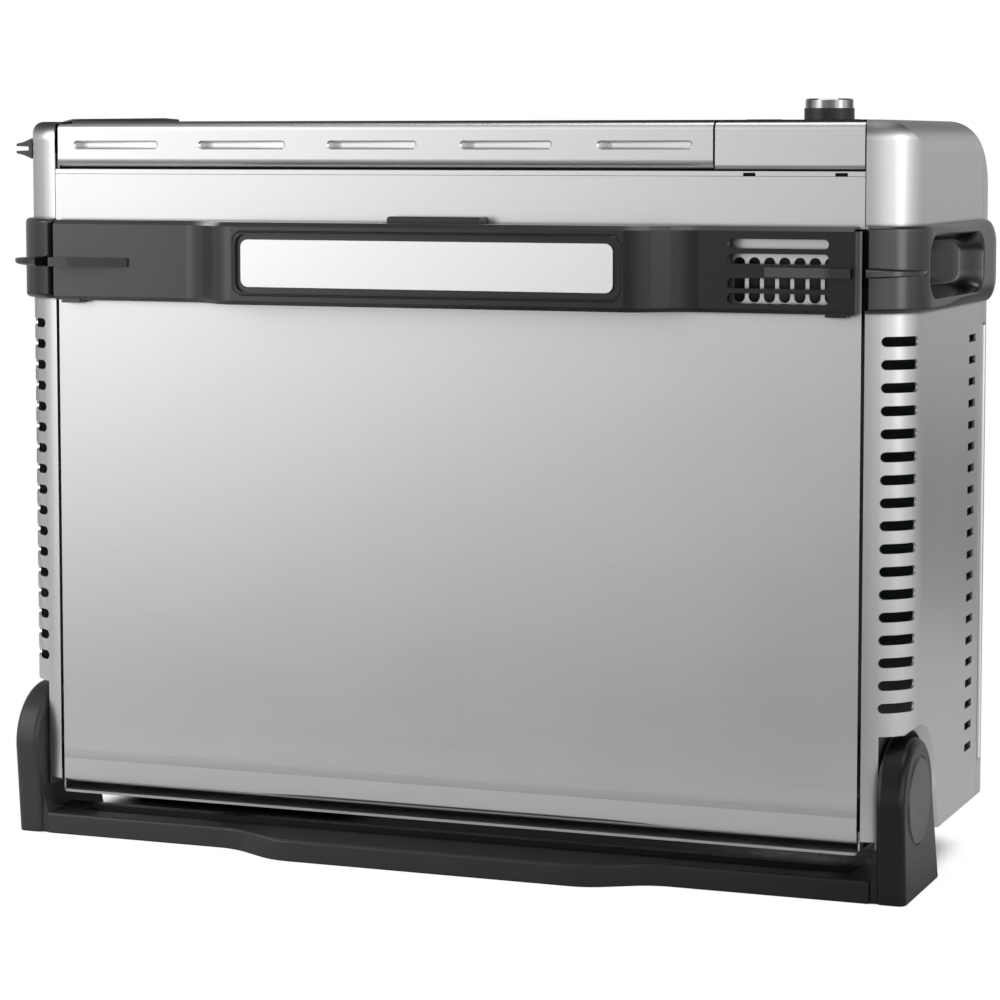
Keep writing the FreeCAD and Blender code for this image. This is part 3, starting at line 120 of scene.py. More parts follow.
class Sheet(Tree):
    """A material's node tree, entered in mats under the material's name."""

    def __init__(self, name):
        mats[name] = bpy.data.materials.new(name)
        mats[name].use_nodes = True
        super().__init__(mats[name].node_tree)
        self.shader = self.tree.nodes["Principled BSDF"]
        self.out = self.tree.nodes["Material Output"]

    def put(self, **values):
        """Set the shader's own sockets; an underscore stands for a blank."""
        for key, value in values.items():
            self.shader.inputs[key.replace("_", " ")].default_value = value

    def place(self, scale=(1, 1, 1)):
        """Object coordinates in metres, scaled."""
        coords = self.node("ShaderNodeTexCoord")
        mapping = self.node("ShaderNodeMapping")
        mapping.inputs["Scale"].default_value = scale
        self.link(coords.outputs["Object"], mapping.inputs["Vector"])
        return mapping.outputs["Vector"]

    def axis(self, name):
        """One object coordinate in metres."""
        split = self.node("ShaderNodeSeparateXYZ")
        self.link(self.place(), split.inputs["Vector"])
        return split.outputs[name]

    def along(self, axis, start, end, low, high, smooth=True):
        """Value that runs from low to high as one coordinate runs from start to end."""
        return self.span(self.axis(axis), low, high, start * MM, end * MM, smooth)

    def noise(self, vector, scale, detail=3.0, rough=0.55):
        made = self.node("ShaderNodeTexNoise")
        made.inputs["Scale"].default_value = scale
        made.inputs["Detail"].default_value = detail
        made.inputs["Roughness"].default_value = rough
        self.link(vector, made.inputs["Vector"])
        return made.outputs["Fac"]

    def shadow(self, distance, samples):
        """Share of the surroundings that is open within the distance."""
        made = self.node("ShaderNodeAmbientOcclusion", samples=samples)
        made.inputs["Distance"].default_value = distance * MM
        return made.outputs["AO"]

    def mix(self, fac, low, high):
        """Colour running from low to high with fac."""
        made = self.node("ShaderNodeMix", data_type="RGBA")
        self.link(fac, made.inputs["Factor"])
        made.inputs["A"].default_value = (*low, 1)
        made.inputs["B"].default_value = (*high, 1)
        return made.outputs["Result"]

    def tint(self, fac, low, high):
        """Base colour running from low to high with fac."""
        self.link(self.mix(fac, low, high), self.shader.inputs["Base Color"])

    def gloss(self, roughness):
        self.link(roughness, self.shader.inputs["Roughness"])

    def within(self, vector, soft=0.4, **ranges):
        """One inside the given ranges of X, Y and Z, falling to nought over a soft border."""
        split = self.node("ShaderNodeSeparateXYZ")
        self.link(vector, split.inputs["Vector"])
        inside = 1.0
        for axis, (low, high) in ranges.items():
            value = split.outputs[axis]
            up = self.span(value, 0.0, 1.0, (low - soft) * MM, low * MM, True)
            down = self.span(value, 1.0, 0.0, high * MM, (high + soft) * MM, True)
            inside = self.math("MULTIPLY", self.math("MULTIPLY", up, down), inside)
        return inside

    def slope(self, axis, start, fixed, arc, sense=1):
        """Height of a surface that leans back beyond start by a fixed slope and then along an arc."""
        beyond = self.math("MULTIPLY", self.math("SUBTRACT", self.axis(axis), start * MM), float(sense))
        beyond = self.math("MAXIMUM", beyond, 0.0)
        bent = self.math("MULTIPLY", self.math("MULTIPLY", beyond, beyond), 0.5 / (arc * MM))
        return self.math("MULTIPLY", self.math("ADD", self.math("MULTIPLY", beyond, fixed), bent), -1.0)

    def bump(self, height, strength=1.0, distance=1.0, under=None):
        """Relief by height, laid over the relief called under."""
        made = self.node("ShaderNodeBump")
        made.inputs["Strength"].default_value = strength
        made.inputs["Distance"].default_value = distance
        self.link(height, made.inputs["Height"])
        if under is not None:
            self.link(under, made.inputs["Normal"])
        self.link(made.outputs["Normal"], self.shader.inputs["Normal"])
        return made.outputs["Normal"]


# Brushed steel, and the forms that single pieces of it have

SEAM_SHADE_REACH = 1.6
PANEL_FOLD_Z = 41.0
PANEL_FOLD_SLOPE = 0.085
PANEL_FOLD_ARC = 160.0
PANEL_SMOOTH_Z = (36.0, 50.0)
SIDE_ROLL_Z = 378.0
SIDE_ROLL_ARC = 9.0
SIDE_PAINTED_DARK_Z = (379.5, 385.5)
HEM_X = (249.1, 251.0)
HEM_Y = (131.8, 137.8)
HEM_Z = (46.0, 279.6)
HEM_RELIEF_Z = (46.0, 279.0)
HEM_ROUND_Y = (132.2, 135.8)
HEM_RISE = 3.38
SLITS_X = ((162.4, 168.3), (209.6, 215.5))
SLITS_Z = (355.0, 361.7)


def brushed(name, grain, colours, rough=(0.30, 0.38), form=None):
    """Brushed steel: noise stretched along the grain drives colour, gloss and a very fine relief.

    Seams and pressed edges are a little darker, as painted shade by how much of the surroundings is open.
    The call form adds its own relief and its own painted light and shade.
    """
    sheet = Sheet(name)
    sheet.put(Metallic=1.0)
    fine = sheet.noise(sheet.place(grain), 1.0, 4.0, 0.65)
    cloud = sheet.noise(sheet.place((7, 7, 7)), 1.0)
    both = sheet.math("ADD", sheet.math("MULTIPLY", fine, 0.6), sheet.math("MULTIPLY", cloud, 0.4))
    # Painted shade: the colour darkens where little of the surroundings is open, at seams, slots and pressed
    # edges
    open_share = sheet.shadow(SEAM_SHADE_REACH, 6)
    bright = sheet.math("MULTIPLY", sheet.span(both, 0.0, 1.0), sheet.span(open_share, 0.0, 1.0, 0.45, 0.95))
    shade = sheet.span(open_share, 0.35, 1.0, 0.45, 0.95)
    roughness = sheet.span(both, *rough)
    normal = sheet.bump(fine, 0.03, 0.00004)
    if form is not None:
        shade, roughness = form(sheet, shade, roughness, normal)
    darker = sheet.node("ShaderNodeVectorMath", operation="SCALE")
    sheet.link(sheet.mix(bright, *colours), darker.inputs["Vector"])
    sheet.link(shade, darker.inputs["Scale"])
    sheet.link(darker.outputs["Vector"], sheet.shader.inputs["Base Color"])
    sheet.gloss(roughness)


def panel_form(sheet, shade, roughness, normal):
    """The access panel leans back below a fold near its lower edge, and is smoother there."""
    sheet.bump(sheet.slope("Z", PANEL_FOLD_Z, PANEL_FOLD_SLOPE, PANEL_FOLD_ARC, -1), under=normal)
    return shade, sheet.math("MULTIPLY", roughness, sheet.along("Z", *PANEL_SMOOTH_Z, 0.45, 1.0))


def side_form(sheet, shade, roughness, normal):
    """The side covers roll over towards their top edge, which reflects the dark room above; a painted dark
    reflection also darkens their colour along that edge.
    """
    sheet.bump(sheet.slope("Z", SIDE_ROLL_Z, 0.0, SIDE_ROLL_ARC), under=normal)
    # Painted dark reflection: the colour falls to 0.3 of its tone towards the top edge
    return sheet.math("MULTIPLY", shade, sheet.along("Z", *SIDE_PAINTED_DARK_Z, 1.0, 0.3)), roughness


def hem_form(sheet, shade, roughness, normal):
    """The raised hem of the long cover is rounded on its front side, with a painted highlight along both
    side walls.
    """
    rise = sheet.along("Y", *HEM_ROUND_Y, 0.0, HEM_RISE * MM, False)
    sheet.bump(sheet.math("MULTIPLY", rise, sheet.within(sheet.place(), 3.0, Z=HEM_RELIEF_Z)), under=normal)
    both_sides = sheet.node("ShaderNodeVectorMath", operation="ABSOLUTE")
    sheet.link(sheet.place(), both_sides.inputs[0])
    hem = sheet.within(both_sides.outputs["Vector"], X=HEM_X, Y=HEM_Y, Z=HEM_Z)
    # Painted highlight: on the hem's side walls the tone rises to 1.3, in place of the painted seam shade
    return sheet.math("MAXIMUM", shade, sheet.math("MULTIPLY", hem, 1.3)), roughness


def frame_form(sheet, shade, roughness, normal):
    """Two narrow slits in the frame's lip are painted nearly black, as painted shade inside them."""
    first, second = (sheet.within(sheet.place(), X=across, Z=SLITS_Z) for across in SLITS_X)
    # Painted shade: the colour falls to 0.03 inside the two slits
    dark = sheet.span(sheet.math("ADD", first, second), 1.0, 0.03, 0.0, 1.0)
    return sheet.math("MULTIPLY", shade, dark), roughness


# Plastic, glass, enamel and plated metal

def rounded_groove(sheet, normal, centre, half_x, half_z, radius, width):
    """Groove along a rounded rectangle: its floor lies where the distance to that outline is nought.

    That distance is taken from the rectangle's corner arcs outside them and from its sides elsewhere.
    """
    away = []
    for axis, middle, half in (("X", centre[0], half_x), ("Z", centre[1], half_z)):
        offset = sheet.math("ABSOLUTE", sheet.math("SUBTRACT", sheet.axis(axis), middle * MM))
        away.append(sheet.math("SUBTRACT", offset, (half - radius) * MM))
    outer = [sheet.math("MAXIMUM", value, 0.0) for value in away]
    squares = [sheet.math("MULTIPLY", value, value) for value in outer]
    corner = sheet.math("SQRT", sheet.math("ADD", *squares))
    inner = sheet.math("MINIMUM", sheet.math("MAXIMUM", *away), 0.0)
    distance = sheet.math("ABSOLUTE", sheet.math("SUBTRACT", sheet.math("ADD", corner, inner), radius * MM))
    sheet.bump(sheet.span(distance, 0.0, 0.0012, 0.0, width * MM, True), under=normal)


def moulded(name, colours, rough=(0.4, 0.52), grain=2600, strength=0.12, shine=0.5, painted_light_fade=None):
    """Moulded plastic: fine spark-eroded grain with a slow change of tone and gloss.

    With painted_light_fade (two X places), the tone runs from the second colour at the first place to the
    first colour at the second: painted light and sheen, lighter towards the first place. The sheet and its
    relief are handed back for a form of its own.
    """
    sheet = Sheet(name)
    sheet.put(Specular_IOR_Level=shine)
    fine = sheet.noise(sheet.place(), grain, 2.0)
    cloud = sheet.noise(sheet.place(), 22)
    tone = sheet.span(cloud, 0, 1)
    if painted_light_fade is not None:
        # Painted light: the tone is lighter towards the first place of the fade
        tone = sheet.math("MULTIPLY", sheet.span(cloud, 0.88, 1.0), sheet.along("X", *painted_light_fade, 1.0, 0.0, False))
    sheet.tint(tone, *colours)
    sheet.gloss(sheet.span(cloud, *rough))
    return sheet, sheet.bump(fine, strength, 0.0001)


def spun(name, centre, top):
    """Turned metal cap: a painted reflection of six soft bright streaks round its side, by a sine of the
    angle; plain on top.
    """
    sheet = Sheet(name)
    sheet.put(Metallic=1.0, Roughness=0.16)
    x, y = (sheet.math("SUBTRACT", sheet.axis(axis), value * MM) for axis, value in zip("XY", centre))
    turn = sheet.math("ARCTAN2", y, x)
    painted_reflection_wave = sheet.math("SINE", sheet.math("ADD", sheet.math("MULTIPLY", turn, 6.0), -0.45))
    fine = sheet.math("SINE", sheet.math("MULTIPLY", turn, 17.0))
    both = sheet.math("ADD", painted_reflection_wave, sheet.math("MULTIPLY", fine, 0.2))
    both = sheet.math("MULTIPLY", both, sheet.along("Z", top - 1.1, top - 0.3, 1.0, 0.05, False))
    # Painted reflection: the metal's colour runs from dark to light with the streaks
    sheet.tint(sheet.span(both, 0.0, 1.0, -0.9, 0.3, True), (0.16, 0.16, 0.16), (0.4, 0.4, 0.4))


def polished(name, colours, rough=(0.03, 0.08), metal=0.0, coat=0.0):
    """Smooth glass-like or plated surface with faint clouding of its gloss."""
    sheet = Sheet(name)
    sheet.put(Metallic=metal, Coat_Weight=coat)
    cloud = sheet.noise(sheet.place(), 35, 4.0)
    sheet.tint(sheet.span(cloud, 0, 1), *colours)
    sheet.gloss(sheet.span(cloud, *rough))


def pane(name, colours, window=None):
    """Glass that is see-through all over, or only inside its window with opaque black print round it.

    The window is given by its ranges of X and Y.
    """
    sheet = Sheet(name)
    cloud = sheet.noise(sheet.place(), 30)
    sheet.tint(sheet.span(cloud, 0, 1), *colours)
    sheet.gloss(sheet.span(cloud, 0.03, 0.07))
    if window is None:
        sheet.put(Alpha=0.28)
        return
    clear = sheet.within(sheet.place(), 4.0, X=window[0], Y=window[1])
    sheet.link(sheet.span(clear, 1.0, 0.42, 0, 1), sheet.shader.inputs["Alpha"])


# The finishes: grain is the noise's scale along X, Y and Z; colours run from the first to the second

ACROSS = (14, 2200, 2200)
UPRIGHT = (2200, 2200, 14)
STEEL = ((0.715, 0.715, 0.71), (0.755, 0.755, 0.75))
PLATE_STEEL = ((0.86, 0.86, 0.855), (0.89, 0.89, 0.885))
CHARCOAL = ((0.005, 0.005, 0.0053), (0.0065, 0.0065, 0.0068))
GRIP_BLACK = ((0.004, 0.004, 0.0043), (0.0055, 0.0055, 0.0058))
BASE_PAINTED_LIGHT_GREY = (0.05, 0.05, 0.0505)
BAND_PAINTED_SHEEN_GREY = (0.07, 0.07, 0.0705)
SATIN = (0.22, 0.27)

brushed("steel_across", ACROSS, STEEL)
brushed("steel_panel", ACROSS, STEEL, form=panel_form)
brushed("steel_side", UPRIGHT, STEEL, form=side_form)
brushed("steel_hem", ACROSS, STEEL, form=hem_form)
brushed("steel_frame", ACROSS, STEEL, form=frame_form)
brushed("steel_plate", ACROSS, PLATE_STEEL)
brushed("plain_steel", (60, 400, 400), ((0.42, 0.42, 0.41), (0.56, 0.56, 0.55)), (0.32, 0.46))
brushed("cavity_steel", (900, 900, 30), ((0.38, 0.38, 0.37), (0.5, 0.5, 0.49)), (0.28, 0.42))
brushed("tray_steel", (40, 700, 700), ((0.5, 0.5, 0.5), (0.62, 0.62, 0.62)), (0.3, 0.45))

moulded("charcoal", CHARCOAL, SATIN, grain=1800, strength=0.02, shine=0.58)
moulded("charcoal_grip", GRIP_BLACK, (0.2, 0.25), grain=1800, strength=0.02, shine=1.0)
# Painted light: the base is lighter towards its left end
moulded("charcoal_base", (CHARCOAL[0], BASE_PAINTED_LIGHT_GREY), (0.30, 0.36), grain=1800, strength=0.03, shine=0.36,
        painted_light_fade=(-250.0, 240.0))
# Painted sheen: the band is lighter towards its left end, standing in for a reflection
band, band_relief = moulded("charcoal_band", (CHARCOAL[0], BAND_PAINTED_SHEEN_GREY), SATIN, grain=1800, strength=0.02,
                            shine=0.55, painted_light_fade=(-270.0, 60.0))
rounded_groove(band, band_relief, centre=(0.0, 314.3), half_x=106.6, half_z=16.4, radius=5.2, width=0.7)
moulded("black_plastic", ((0.011, 0.011, 0.011), (0.018, 0.018, 0.018)), (0.34, 0.46))
moulded("grey_plastic", ((0.05, 0.05, 0.052), (0.058, 0.058, 0.061)), (0.3, 0.38), 1800, 0.05)
moulded("nylon", ((0.62, 0.61, 0.57), (0.7, 0.69, 0.65)))
moulded("rubber", ((0.016, 0.016, 0.016), (0.024, 0.024, 0.024)), (0.7, 0.85), 900, 0.3)
moulded("board", ((0.02, 0.07, 0.035), (0.035, 0.11, 0.055)), (0.4, 0.5), 500, 0.2)
moulded("heater", ((0.1, 0.095, 0.09), (0.2, 0.19, 0.175)), (0.4, 0.6), 700, 0.2)
moulded("ceramic", ((0.72, 0.7, 0.65), (0.82, 0.8, 0.75)), (0.6, 0.75), 1200, 0.2)
moulded("gasket", ((0.09, 0.09, 0.085), (0.17, 0.17, 0.16)), (0.85, 0.95), 1500, 0.8)

spun("spun_cap", (186.2, 51.0), 399.3)
polished("chrome", ((0.62, 0.62, 0.63), (0.72, 0.72, 0.73)), (0.06, 0.12), metal=1.0)
polished("enamel", ((0.014, 0.014, 0.015), (0.022, 0.022, 0.024)), (0.25, 0.36), coat=0.2)
polished("black_glass", ((0.006, 0.006, 0.007), (0.010, 0.010, 0.011)))
polished("lamp_glass", ((0.75, 0.73, 0.68), (0.85, 0.83, 0.78)), (0.2, 0.3))
polished("display", ((0.012, 0.016, 0.022), (0.02, 0.026, 0.034)), (0.1, 0.2))
pane("clear_glass", ((0.5, 0.52, 0.52), (0.6, 0.62, 0.62)))
pane("door_glass", ((0.006, 0.006, 0.007), (0.012, 0.012, 0.013)), ((-193.0, 109.0), (11.0, 89.0)))

finish_of_slot = {
    "satin_steel": "steel_across", "charcoal_plastic": "charcoal", "circuit_board": "board",
    "black_enamel": "enamel", "chrome_wire": "chrome",
}
finish_of_node = {
    "side_cover_left": "steel_side", "side_cover_right": "steel_side", "top_cover": "steel_hem",
    "front_frame": "steel_frame", "access_panel": "steel_panel", "nameplate": "steel_plate",
    "base_bar": "charcoal_base", "base_arm_left": "charcoal_base", "base_arm_right": "charcoal_base",
    "band_centre": "charcoal_band", "dial_cap": "spun_cap", "door_outer_glass": "door_glass",
}
SHARP_ANGLE = math.radians(32)

# A slot that isn't in the first table has a finish of its own name
for name, node in nodes.items():
    slot = slot_of[name]
    finish = finish_of_node.get(name, finish_of_slot.get(slot, slot))
    node.data.materials.clear()
    node.data.materials.append(mats[finish])
    for polygon in node.data.polygons:
        polygon.use_smooth = True
    node.data.set_sharp_from_angle(angle=SHARP_ANGLE)


# Side handles

CORNER_X = 223.0
CORNER_Y = 4.0
HANDLE_RADIUS = 26.15
HANDLE_Z = 314.5
HANDLE_HALF = 21.5
FRONT_EDGE_TURN = 9.2  # degrees
END_START_Y = 126.0
END_LENGTH = 21.2
END_RADIUS = 17.0
FIN_Z = 313.1
BOWL_Y = 53.0
BOWL_HALF = 51.0
BOWL_DEPTH = 17.5
MOUTH_Y = 52.5
MOUTH_Z = 315.0
MOUTH_HALF_Y = 51.5
MOUTH_HALF_Z = 14.0
MOUTH_CORNER = 9.0


def between_layers(name, front, back, material):
    """Closed mesh between two layers of the same grid, joined along their four borders.

    Its faces are turned outwards by the sign of the volume that they enclose.
    """
    rows, columns = front.shape[:2]
    count = rows * columns
    index = np.arange(count).reshape(rows, columns)
    quads = np.stack([index[:-1, :-1], index[1:, :-1], index[1:, 1:], index[:-1, 1:]], -1).reshape(-1, 4)
    border = np.concatenate([index[0], index[1:, -1], index[-1, -2::-1], index[-2:0:-1, 0]])
    after = np.roll(border, -1)
    rim = np.stack([border, after, after + count, border + count], -1)
    faces = np.concatenate([quads, quads[:, ::-1] + count, rim])
    points = np.concatenate([front.reshape(-1, 3), back.reshape(-1, 3)])
    a, b, c, d = (points[faces[:, i]] for i in range(4))
    volume = np.einsum("ij,ij->", a, np.cross(b, c)) + np.einsum("ij,ij->", a, np.cross(c, d))
    if volume < 0:
        faces = faces[:, ::-1]
    mesh = bpy.data.meshes.new(name)
    mesh.from_pydata((points * MM).tolist(), [], faces.tolist())
    mesh.polygons.foreach_set("use_smooth", np.ones(len(faces), bool))
    mesh.update()
    mesh.set_sharp_from_angle(angle=math.radians(42))
    mesh.materials.append(material)
    piece = bpy.data.objects.new(name, mesh)
    bpy.context.scene.collection.objects.link(piece)
    return piece


def ease(value, low, high):
    """Nought below low, one above high, and a smooth cubic between them."""
    t = np.clip((value - low) / (high - low), 0, 1)
    return t * t * (3 - 2 * t)


def curve_through(places, values, at):
    """Parabola through three points."""
    return np.polyval(np.polyfit(places, values, 2), at)


def handle_path():
    """Turn, X and Y of each step: an arc round the cover's front corner, then a line along its side.

    The steps are closer together at the front edge, at the recess's far end and at the band's far end.
    """
    turns = np.radians(np.concatenate([[4.6, 6.0, 7.6, 8.4, 8.6, 9.4], np.linspace(11, 90, 40)]))
    to_end = 130 + END_RADIUS * np.sin(np.linspace(-0.2, math.pi / 2, 16))
    past_mouth = np.linspace(98.6, 106, 13)
    runs = np.concatenate([np.linspace(5, 98, 60), past_mouth, np.linspace(107.5, 126, 11), to_end])
    turn = np.concatenate([turns, np.full(len(runs), math.pi / 2)])
    y = np.concatenate([CORNER_Y - HANDLE_RADIUS * np.cos(turns), runs])
    return turn, CORNER_X + HANDLE_RADIUS * np.sin(turn), y


def handle_thickness(turn, y):
    """Ramp at the front edge, parabola over the corner, slow rise along the side, ellipse at the end."""
    degrees = np.degrees(turn)
    ramp = 2.84 + (degrees - 4.6) * 0.635
    over_corner = curve_through([FRONT_EDGE_TURN, 45, 90], [5.76, 4.45, 3.85], degrees)
    thick = np.where(degrees < FRONT_EDGE_TURN, ramp, over_corner)
    on_side = turn >= math.pi / 2 - 1e-6
    thick = thick + 3.2 * np.clip((y - CORNER_Y) / 122, 0, 1) * on_side
    return thick * np.sqrt(np.clip(1 - (np.clip(y - END_START_Y, 0, 21) / END_LENGTH) ** 2, 0, 1))


def handle_rows(fin_half):
    """Heights across the band: rows close up towards the fin from both edges, and four rows carry it."""
    run = np.linspace(0, 1, 36) ** 1.35
    bottom, top = HANDLE_Z - HANDLE_HALF, HANDLE_Z + HANDLE_HALF
    fin_bottom = (FIN_Z - fin_half - 0.35)[:, None]
    fin_top = (FIN_Z + fin_half + 0.35)[:, None]
    low = bottom + (fin_bottom - bottom) * run[None, :]
    high = top - (top - fin_top) * run[None, ::-1]
    ridge = FIN_Z + fin_half[:, None] * np.array([-1, -0.6, 0.6, 1])[None, :]
    carries_fin = np.concatenate([np.zeros(36), [0.93, 1, 1, 0.93], np.zeros(36)])
    return np.concatenate([low, ridge, high], 1), carries_fin


def rounded_edges(thick, y, z):
    """Stand-off of the face: the thickness, less a quarter ellipse along the lower and upper edge."""
    rounded = ease(y, 20, 110)[:, None]
    edge_height = 2.4 + 9.5 * rounded
    edge_depth = np.minimum(2.4 + 2.6 * rounded, np.maximum(thick[:, None] - 0.4, 0.1))
    over = np.clip((np.abs(z - HANDLE_Z) - (HANDLE_HALF - edge_height)) / edge_height, 0, 1)
    return thick[:, None] - edge_depth * (1 - np.sqrt(1 - over ** 2))


def with_bowl(stand, y, z):
    """The face sinks into a bowl, an ellipse along the side, inside a rounded rectangle."""
    along = np.repeat(y[:, None], z.shape[1], 1)
    out_y = np.abs(along - MOUTH_Y) - (MOUTH_HALF_Y - MOUTH_CORNER)
    out_z = np.abs(z - MOUTH_Z) - (MOUTH_HALF_Z - MOUTH_CORNER)
    corner = np.hypot(np.maximum(out_y, 0), np.maximum(out_z, 0))
    outside = corner + np.minimum(np.maximum(out_y, out_z), 0) - MOUTH_CORNER
    bowl = BOWL_DEPTH * np.sqrt(np.clip(1 - ((along - BOWL_Y) / BOWL_HALF) ** 2, 0, 1))
    sunk = ease(-outside, -2.2, 2.6)
    return stand * (1 - sunk) - bowl * sunk


def side_handle(name, sense):
    """Band carried round the cover's front corner and back along its side.

    Each point stands off the path by the face's height at its place: rounded edges, a fin that thins
    out over the corner, and the finger bowl. The band's height shrinks to a round far end.
    """
    turn, path_x, path_y = handle_path()
    degrees = np.degrees(turn)
    thick = handle_thickness(turn, path_y)
    fin_reach = curve_through([8.5, 35, 66], [16.1, 13.35, 6.0], degrees)
    fin_reach = np.where((degrees > 8.5) & (degrees < 76), fin_reach, 0)
    z, carries_fin = handle_rows(np.interp(degrees, [8, 78], [2.4, 0.5]))
    stand = np.maximum(rounded_edges(thick, path_y, z), fin_reach[:, None] * carries_fin[None, :])
    stand = with_bowl(stand, path_y, z)
    behind = np.minimum(0.0, stand - 1.2)

    at_end = np.clip(path_y - 130, 0, END_RADIUS)
    reach = HANDLE_HALF - END_RADIUS + np.sqrt(END_RADIUS ** 2 - at_end ** 2)
    z = HANDLE_Z + (z - HANDLE_Z) * (reach / HANDLE_HALF)[:, None]
    layers = []
    for offset in (stand, behind):
        x = path_x[:, None] + offset * np.sin(turn)[:, None]
        y = path_y[:, None] - offset * np.cos(turn)[:, None]
        layers.append(np.stack([x * sense, y, z], -1))
    piece = between_layers(name, layers[0], layers[1], mats["charcoal_grip"])
    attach(piece, "oven")
    return piece


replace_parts(side_handle("handle_right", 1), "side_handle_right")
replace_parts(side_handle("handle_left", -1), "side_handle_left")


# Stage, lights and camera

SHADOW_REACH = 110.0
UNDER_LEFT_X = (-222.0, -100.0)
UNDER_LEFT_Y = (70.0, 118.0)

# The floor's size and tones, the lamps and the camera are placed in metres
FLOOR_LEVEL = -0.0005
FLOOR_BEHIND = 2.8
FLOOR_BEFORE = 1.7
FLOOR_SIDE = 6.0

# Pairs of place and tone: the floor's painted light and shade along Y, as the steel sees it, and the room's
# light by bearing in degrees
FLOOR_PAINTED_TONES = (
    (-1.7, 0.56), (-0.9, 0.39), (-0.35, 0.27), (-0.22, 0.45), (-0.15, 0.85), (0.0, 0.85), (0.8, 0.78),
    (1.1, 0.32), (2.8, 0.32),
)
ROOM_TONES = (
    (-180, 0.60), (-135, 0.55), (-90, 0.70), (-65, 0.9), (-55, 1.2), (-42, 2.8), (-34, 3.1), (-29, 2.8),
    (-24, 1.6), (-19, 0.74), (-12, 0.52), (0, 0.68), (15, 1.0), (30, 1.45), (45, 1.75), (60, 1.7),
    (80, 1.7), (95, 1.3), (110, 0.95), (135, 0.65), (165, 0.60), (180, 0.60),
)


def floor_plane():
    mesh = bpy.data.meshes.new("floor")
    near, far = -FLOOR_BEFORE, FLOOR_BEHIND
    corners = [(-FLOOR_SIDE, near), (FLOOR_SIDE, near), (FLOOR_SIDE, far), (-FLOOR_SIDE, far)]
    mesh.from_pydata([(x, y, FLOOR_LEVEL) for x, y in corners], [], [(0, 1, 2, 3)])
    floor = bpy.data.objects.new("floor", mesh)
    bpy.context.scene.collection.objects.link(floor)
    return floor


def stage_floor():
    """Floor that the camera sees as plain white with a painted shadow under the part; reflections see its
    tones.

    In front of the part, the tones fall off a little towards the right; these tones are painted light and
    shade for the reflections. The camera sees a nearly black patch of painted shadow under the oven's left
    half, where it looks through the gap below the access panel.
    """
    floor = floor_plane()
    sheet = Sheet("floor")
    # Painted light and shade for the reflections: the tone runs along Y and falls off towards the right in
    # front
    along = sheet.tones(sheet.axis("Y"), FLOOR_PAINTED_TONES)
    across = sheet.math("SUBTRACT", sheet.axis("X"), sheet.math("MULTIPLY", sheet.axis("Y"), 0.4))
    in_front = sheet.along("Y", -50.0, 50.0, 1.0, 0.0, False)
    to_right = sheet.math("MULTIPLY", sheet.span(across, 0.0, 0.26, -0.35, 0.35), in_front)
    sheet.tint(sheet.math("MULTIPLY", along, sheet.math("SUBTRACT", 1.0, to_right)), (0, 0, 0), (1, 1, 1))
    sheet.put(Roughness=0.9)
    # Painted shadow: the camera's white darkens where little of the surroundings is open
    bright = sheet.span(sheet.shadow(SHADOW_REACH, 12), 0.012, 1.0, 0.22, 0.42, True)
    # Painted shadow: a nearly black patch under the oven's left half
    painted_shadow_patch = sheet.within(sheet.place(), 30.0, X=UNDER_LEFT_X, Y=UNDER_LEFT_Y)
    glow = sheet.node("ShaderNodeEmission")
    darkest = sheet.span(painted_shadow_patch, 1.0, 0.012, 0.0, 1.0)
    sheet.link(sheet.math("MULTIPLY", bright, darkest), glow.inputs["Strength"])
    sheet.show(sheet.shader, glow, sheet.out)
    floor.data.materials.append(mats["floor"])


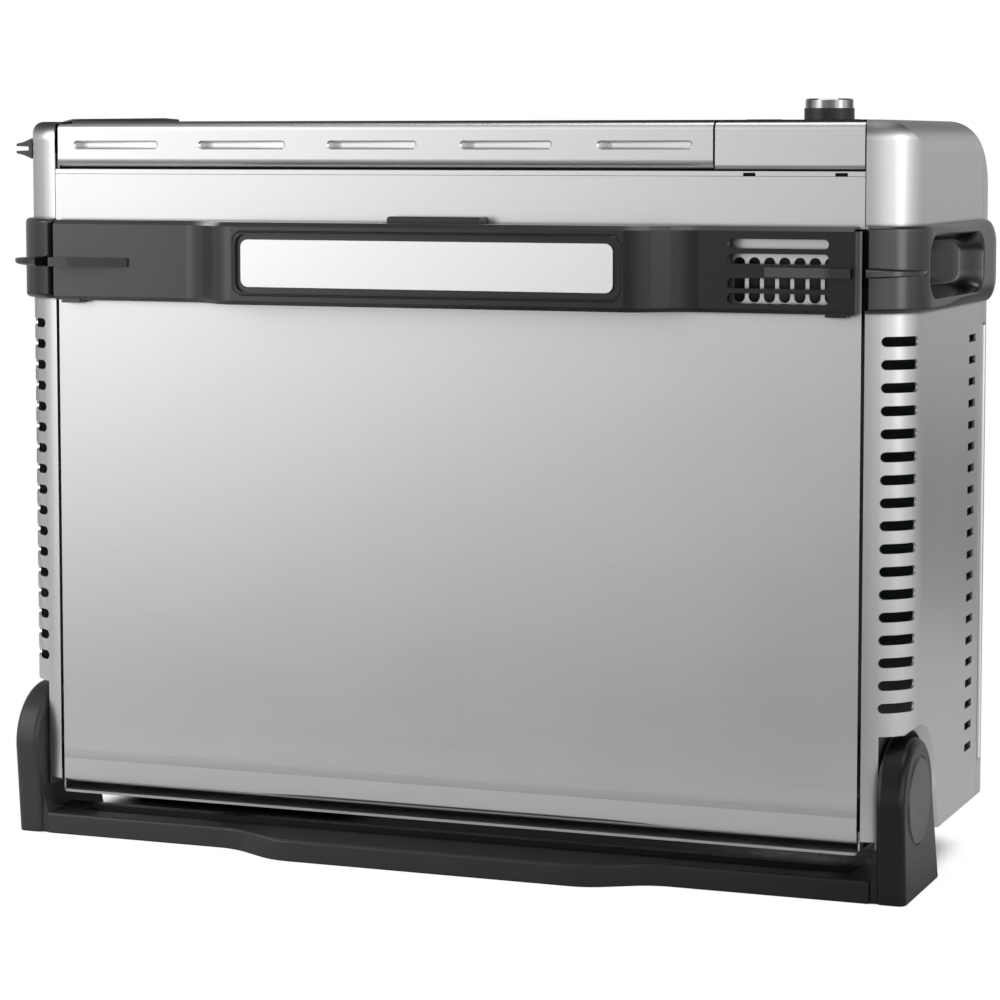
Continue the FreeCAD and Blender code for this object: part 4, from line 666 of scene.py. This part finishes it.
def studio_world():
    """White to the camera; for light and reflections a soft room whose tone depends on the bearing.

    The room is darker just below the horizon and high up, and has a faint light overhead.
    """
    world = bpy.data.worlds.new("studio")
    bpy.context.scene.world = world
    world.use_nodes = True
    room_tree = Tree(world.node_tree)
    room_tree.tree.nodes.clear()
    coords = room_tree.node("ShaderNodeTexCoord")
    split = room_tree.node("ShaderNodeSeparateXYZ")
    room_tree.link(coords.outputs["Generated"], split.inputs["Vector"])
    x, y, z = (split.outputs[axis] for axis in "XYZ")
    forward = room_tree.math("MULTIPLY", y, -1.0)
    bearing = room_tree.math("MULTIPLY", room_tree.math("ARCTAN2", x, forward), 180 / math.pi)
    low_part = room_tree.span(z, 0.66, 1.0, -0.11, -0.04, True)
    high_part = room_tree.span(z, 1.0, 0.28, 0.2, 0.75, True)
    both_parts = room_tree.math("MULTIPLY", low_part, high_part)
    tone = room_tree.math("MULTIPLY", room_tree.tones(bearing, ROOM_TONES), both_parts)
    overhead = room_tree.span(z, 0.0, 0.06, 0.3, 1.0, True)
    room = room_tree.node("ShaderNodeBackground")
    room_tree.link(room_tree.math("ADD", tone, overhead), room.inputs["Strength"])
    white = room_tree.node("ShaderNodeBackground")
    white.inputs["Color"].default_value = (1, 1, 1, 1)
    room_tree.show(room, white, room_tree.node("ShaderNodeOutputWorld"))


def lamp(name, place, aim, size, power):
    """Soft rectangular studio lamp aimed at a point, with its power in watts."""
    data = bpy.data.lights.new(name, "AREA")
    data.shape = "RECTANGLE"
    data.size, data.size_y = size
    data.energy = power
    made = bpy.data.objects.new(name, data)
    made.location = place
    made.rotation_euler = (Vector(aim) - Vector(place)).to_track_quat("-Z", "Y").to_euler()
    bpy.context.scene.collection.objects.link(made)


def photo_camera(place, turn, tilt, focal_ratio, shift):
    """Camera turned and tilted by degrees; its focal length is a multiple of the sensor's width."""
    data = bpy.data.cameras.new("camera")
    data.sensor_width = 36.0
    data.lens = 36.0 * focal_ratio
    data.shift_y = shift
    data.clip_end = 50.0
    camera = bpy.data.objects.new("camera", data)
    bpy.context.scene.collection.objects.link(camera)
    bpy.context.scene.camera = camera
    camera.location = place
    camera.rotation_euler = (math.radians(90 - tilt), 0, math.radians(turn))


stage_floor()
studio_world()
lamp("lamp_left", (-1.6, -1.1, 1.3), aim=(0, 0.05, 0.2), size=(1.2, 1.2), power=10)
lamp("lamp_right", (1.9, -0.55, 0.66), aim=(0.1, 0.05, 0.25), size=(0.5, 1.1), power=3)
lamp("lamp_top", (0.1, 0.2, 2.0), aim=(0, 0.05, 0.2), size=(1.4, 1.0), power=10)
photo_camera((0.62398, -1.55348, 0.37621), turn=21.109, tilt=4.931, focal_ratio=3.2025, shift=-0.08)
bpy.context.scene.view_settings.view_transform = "Standard"
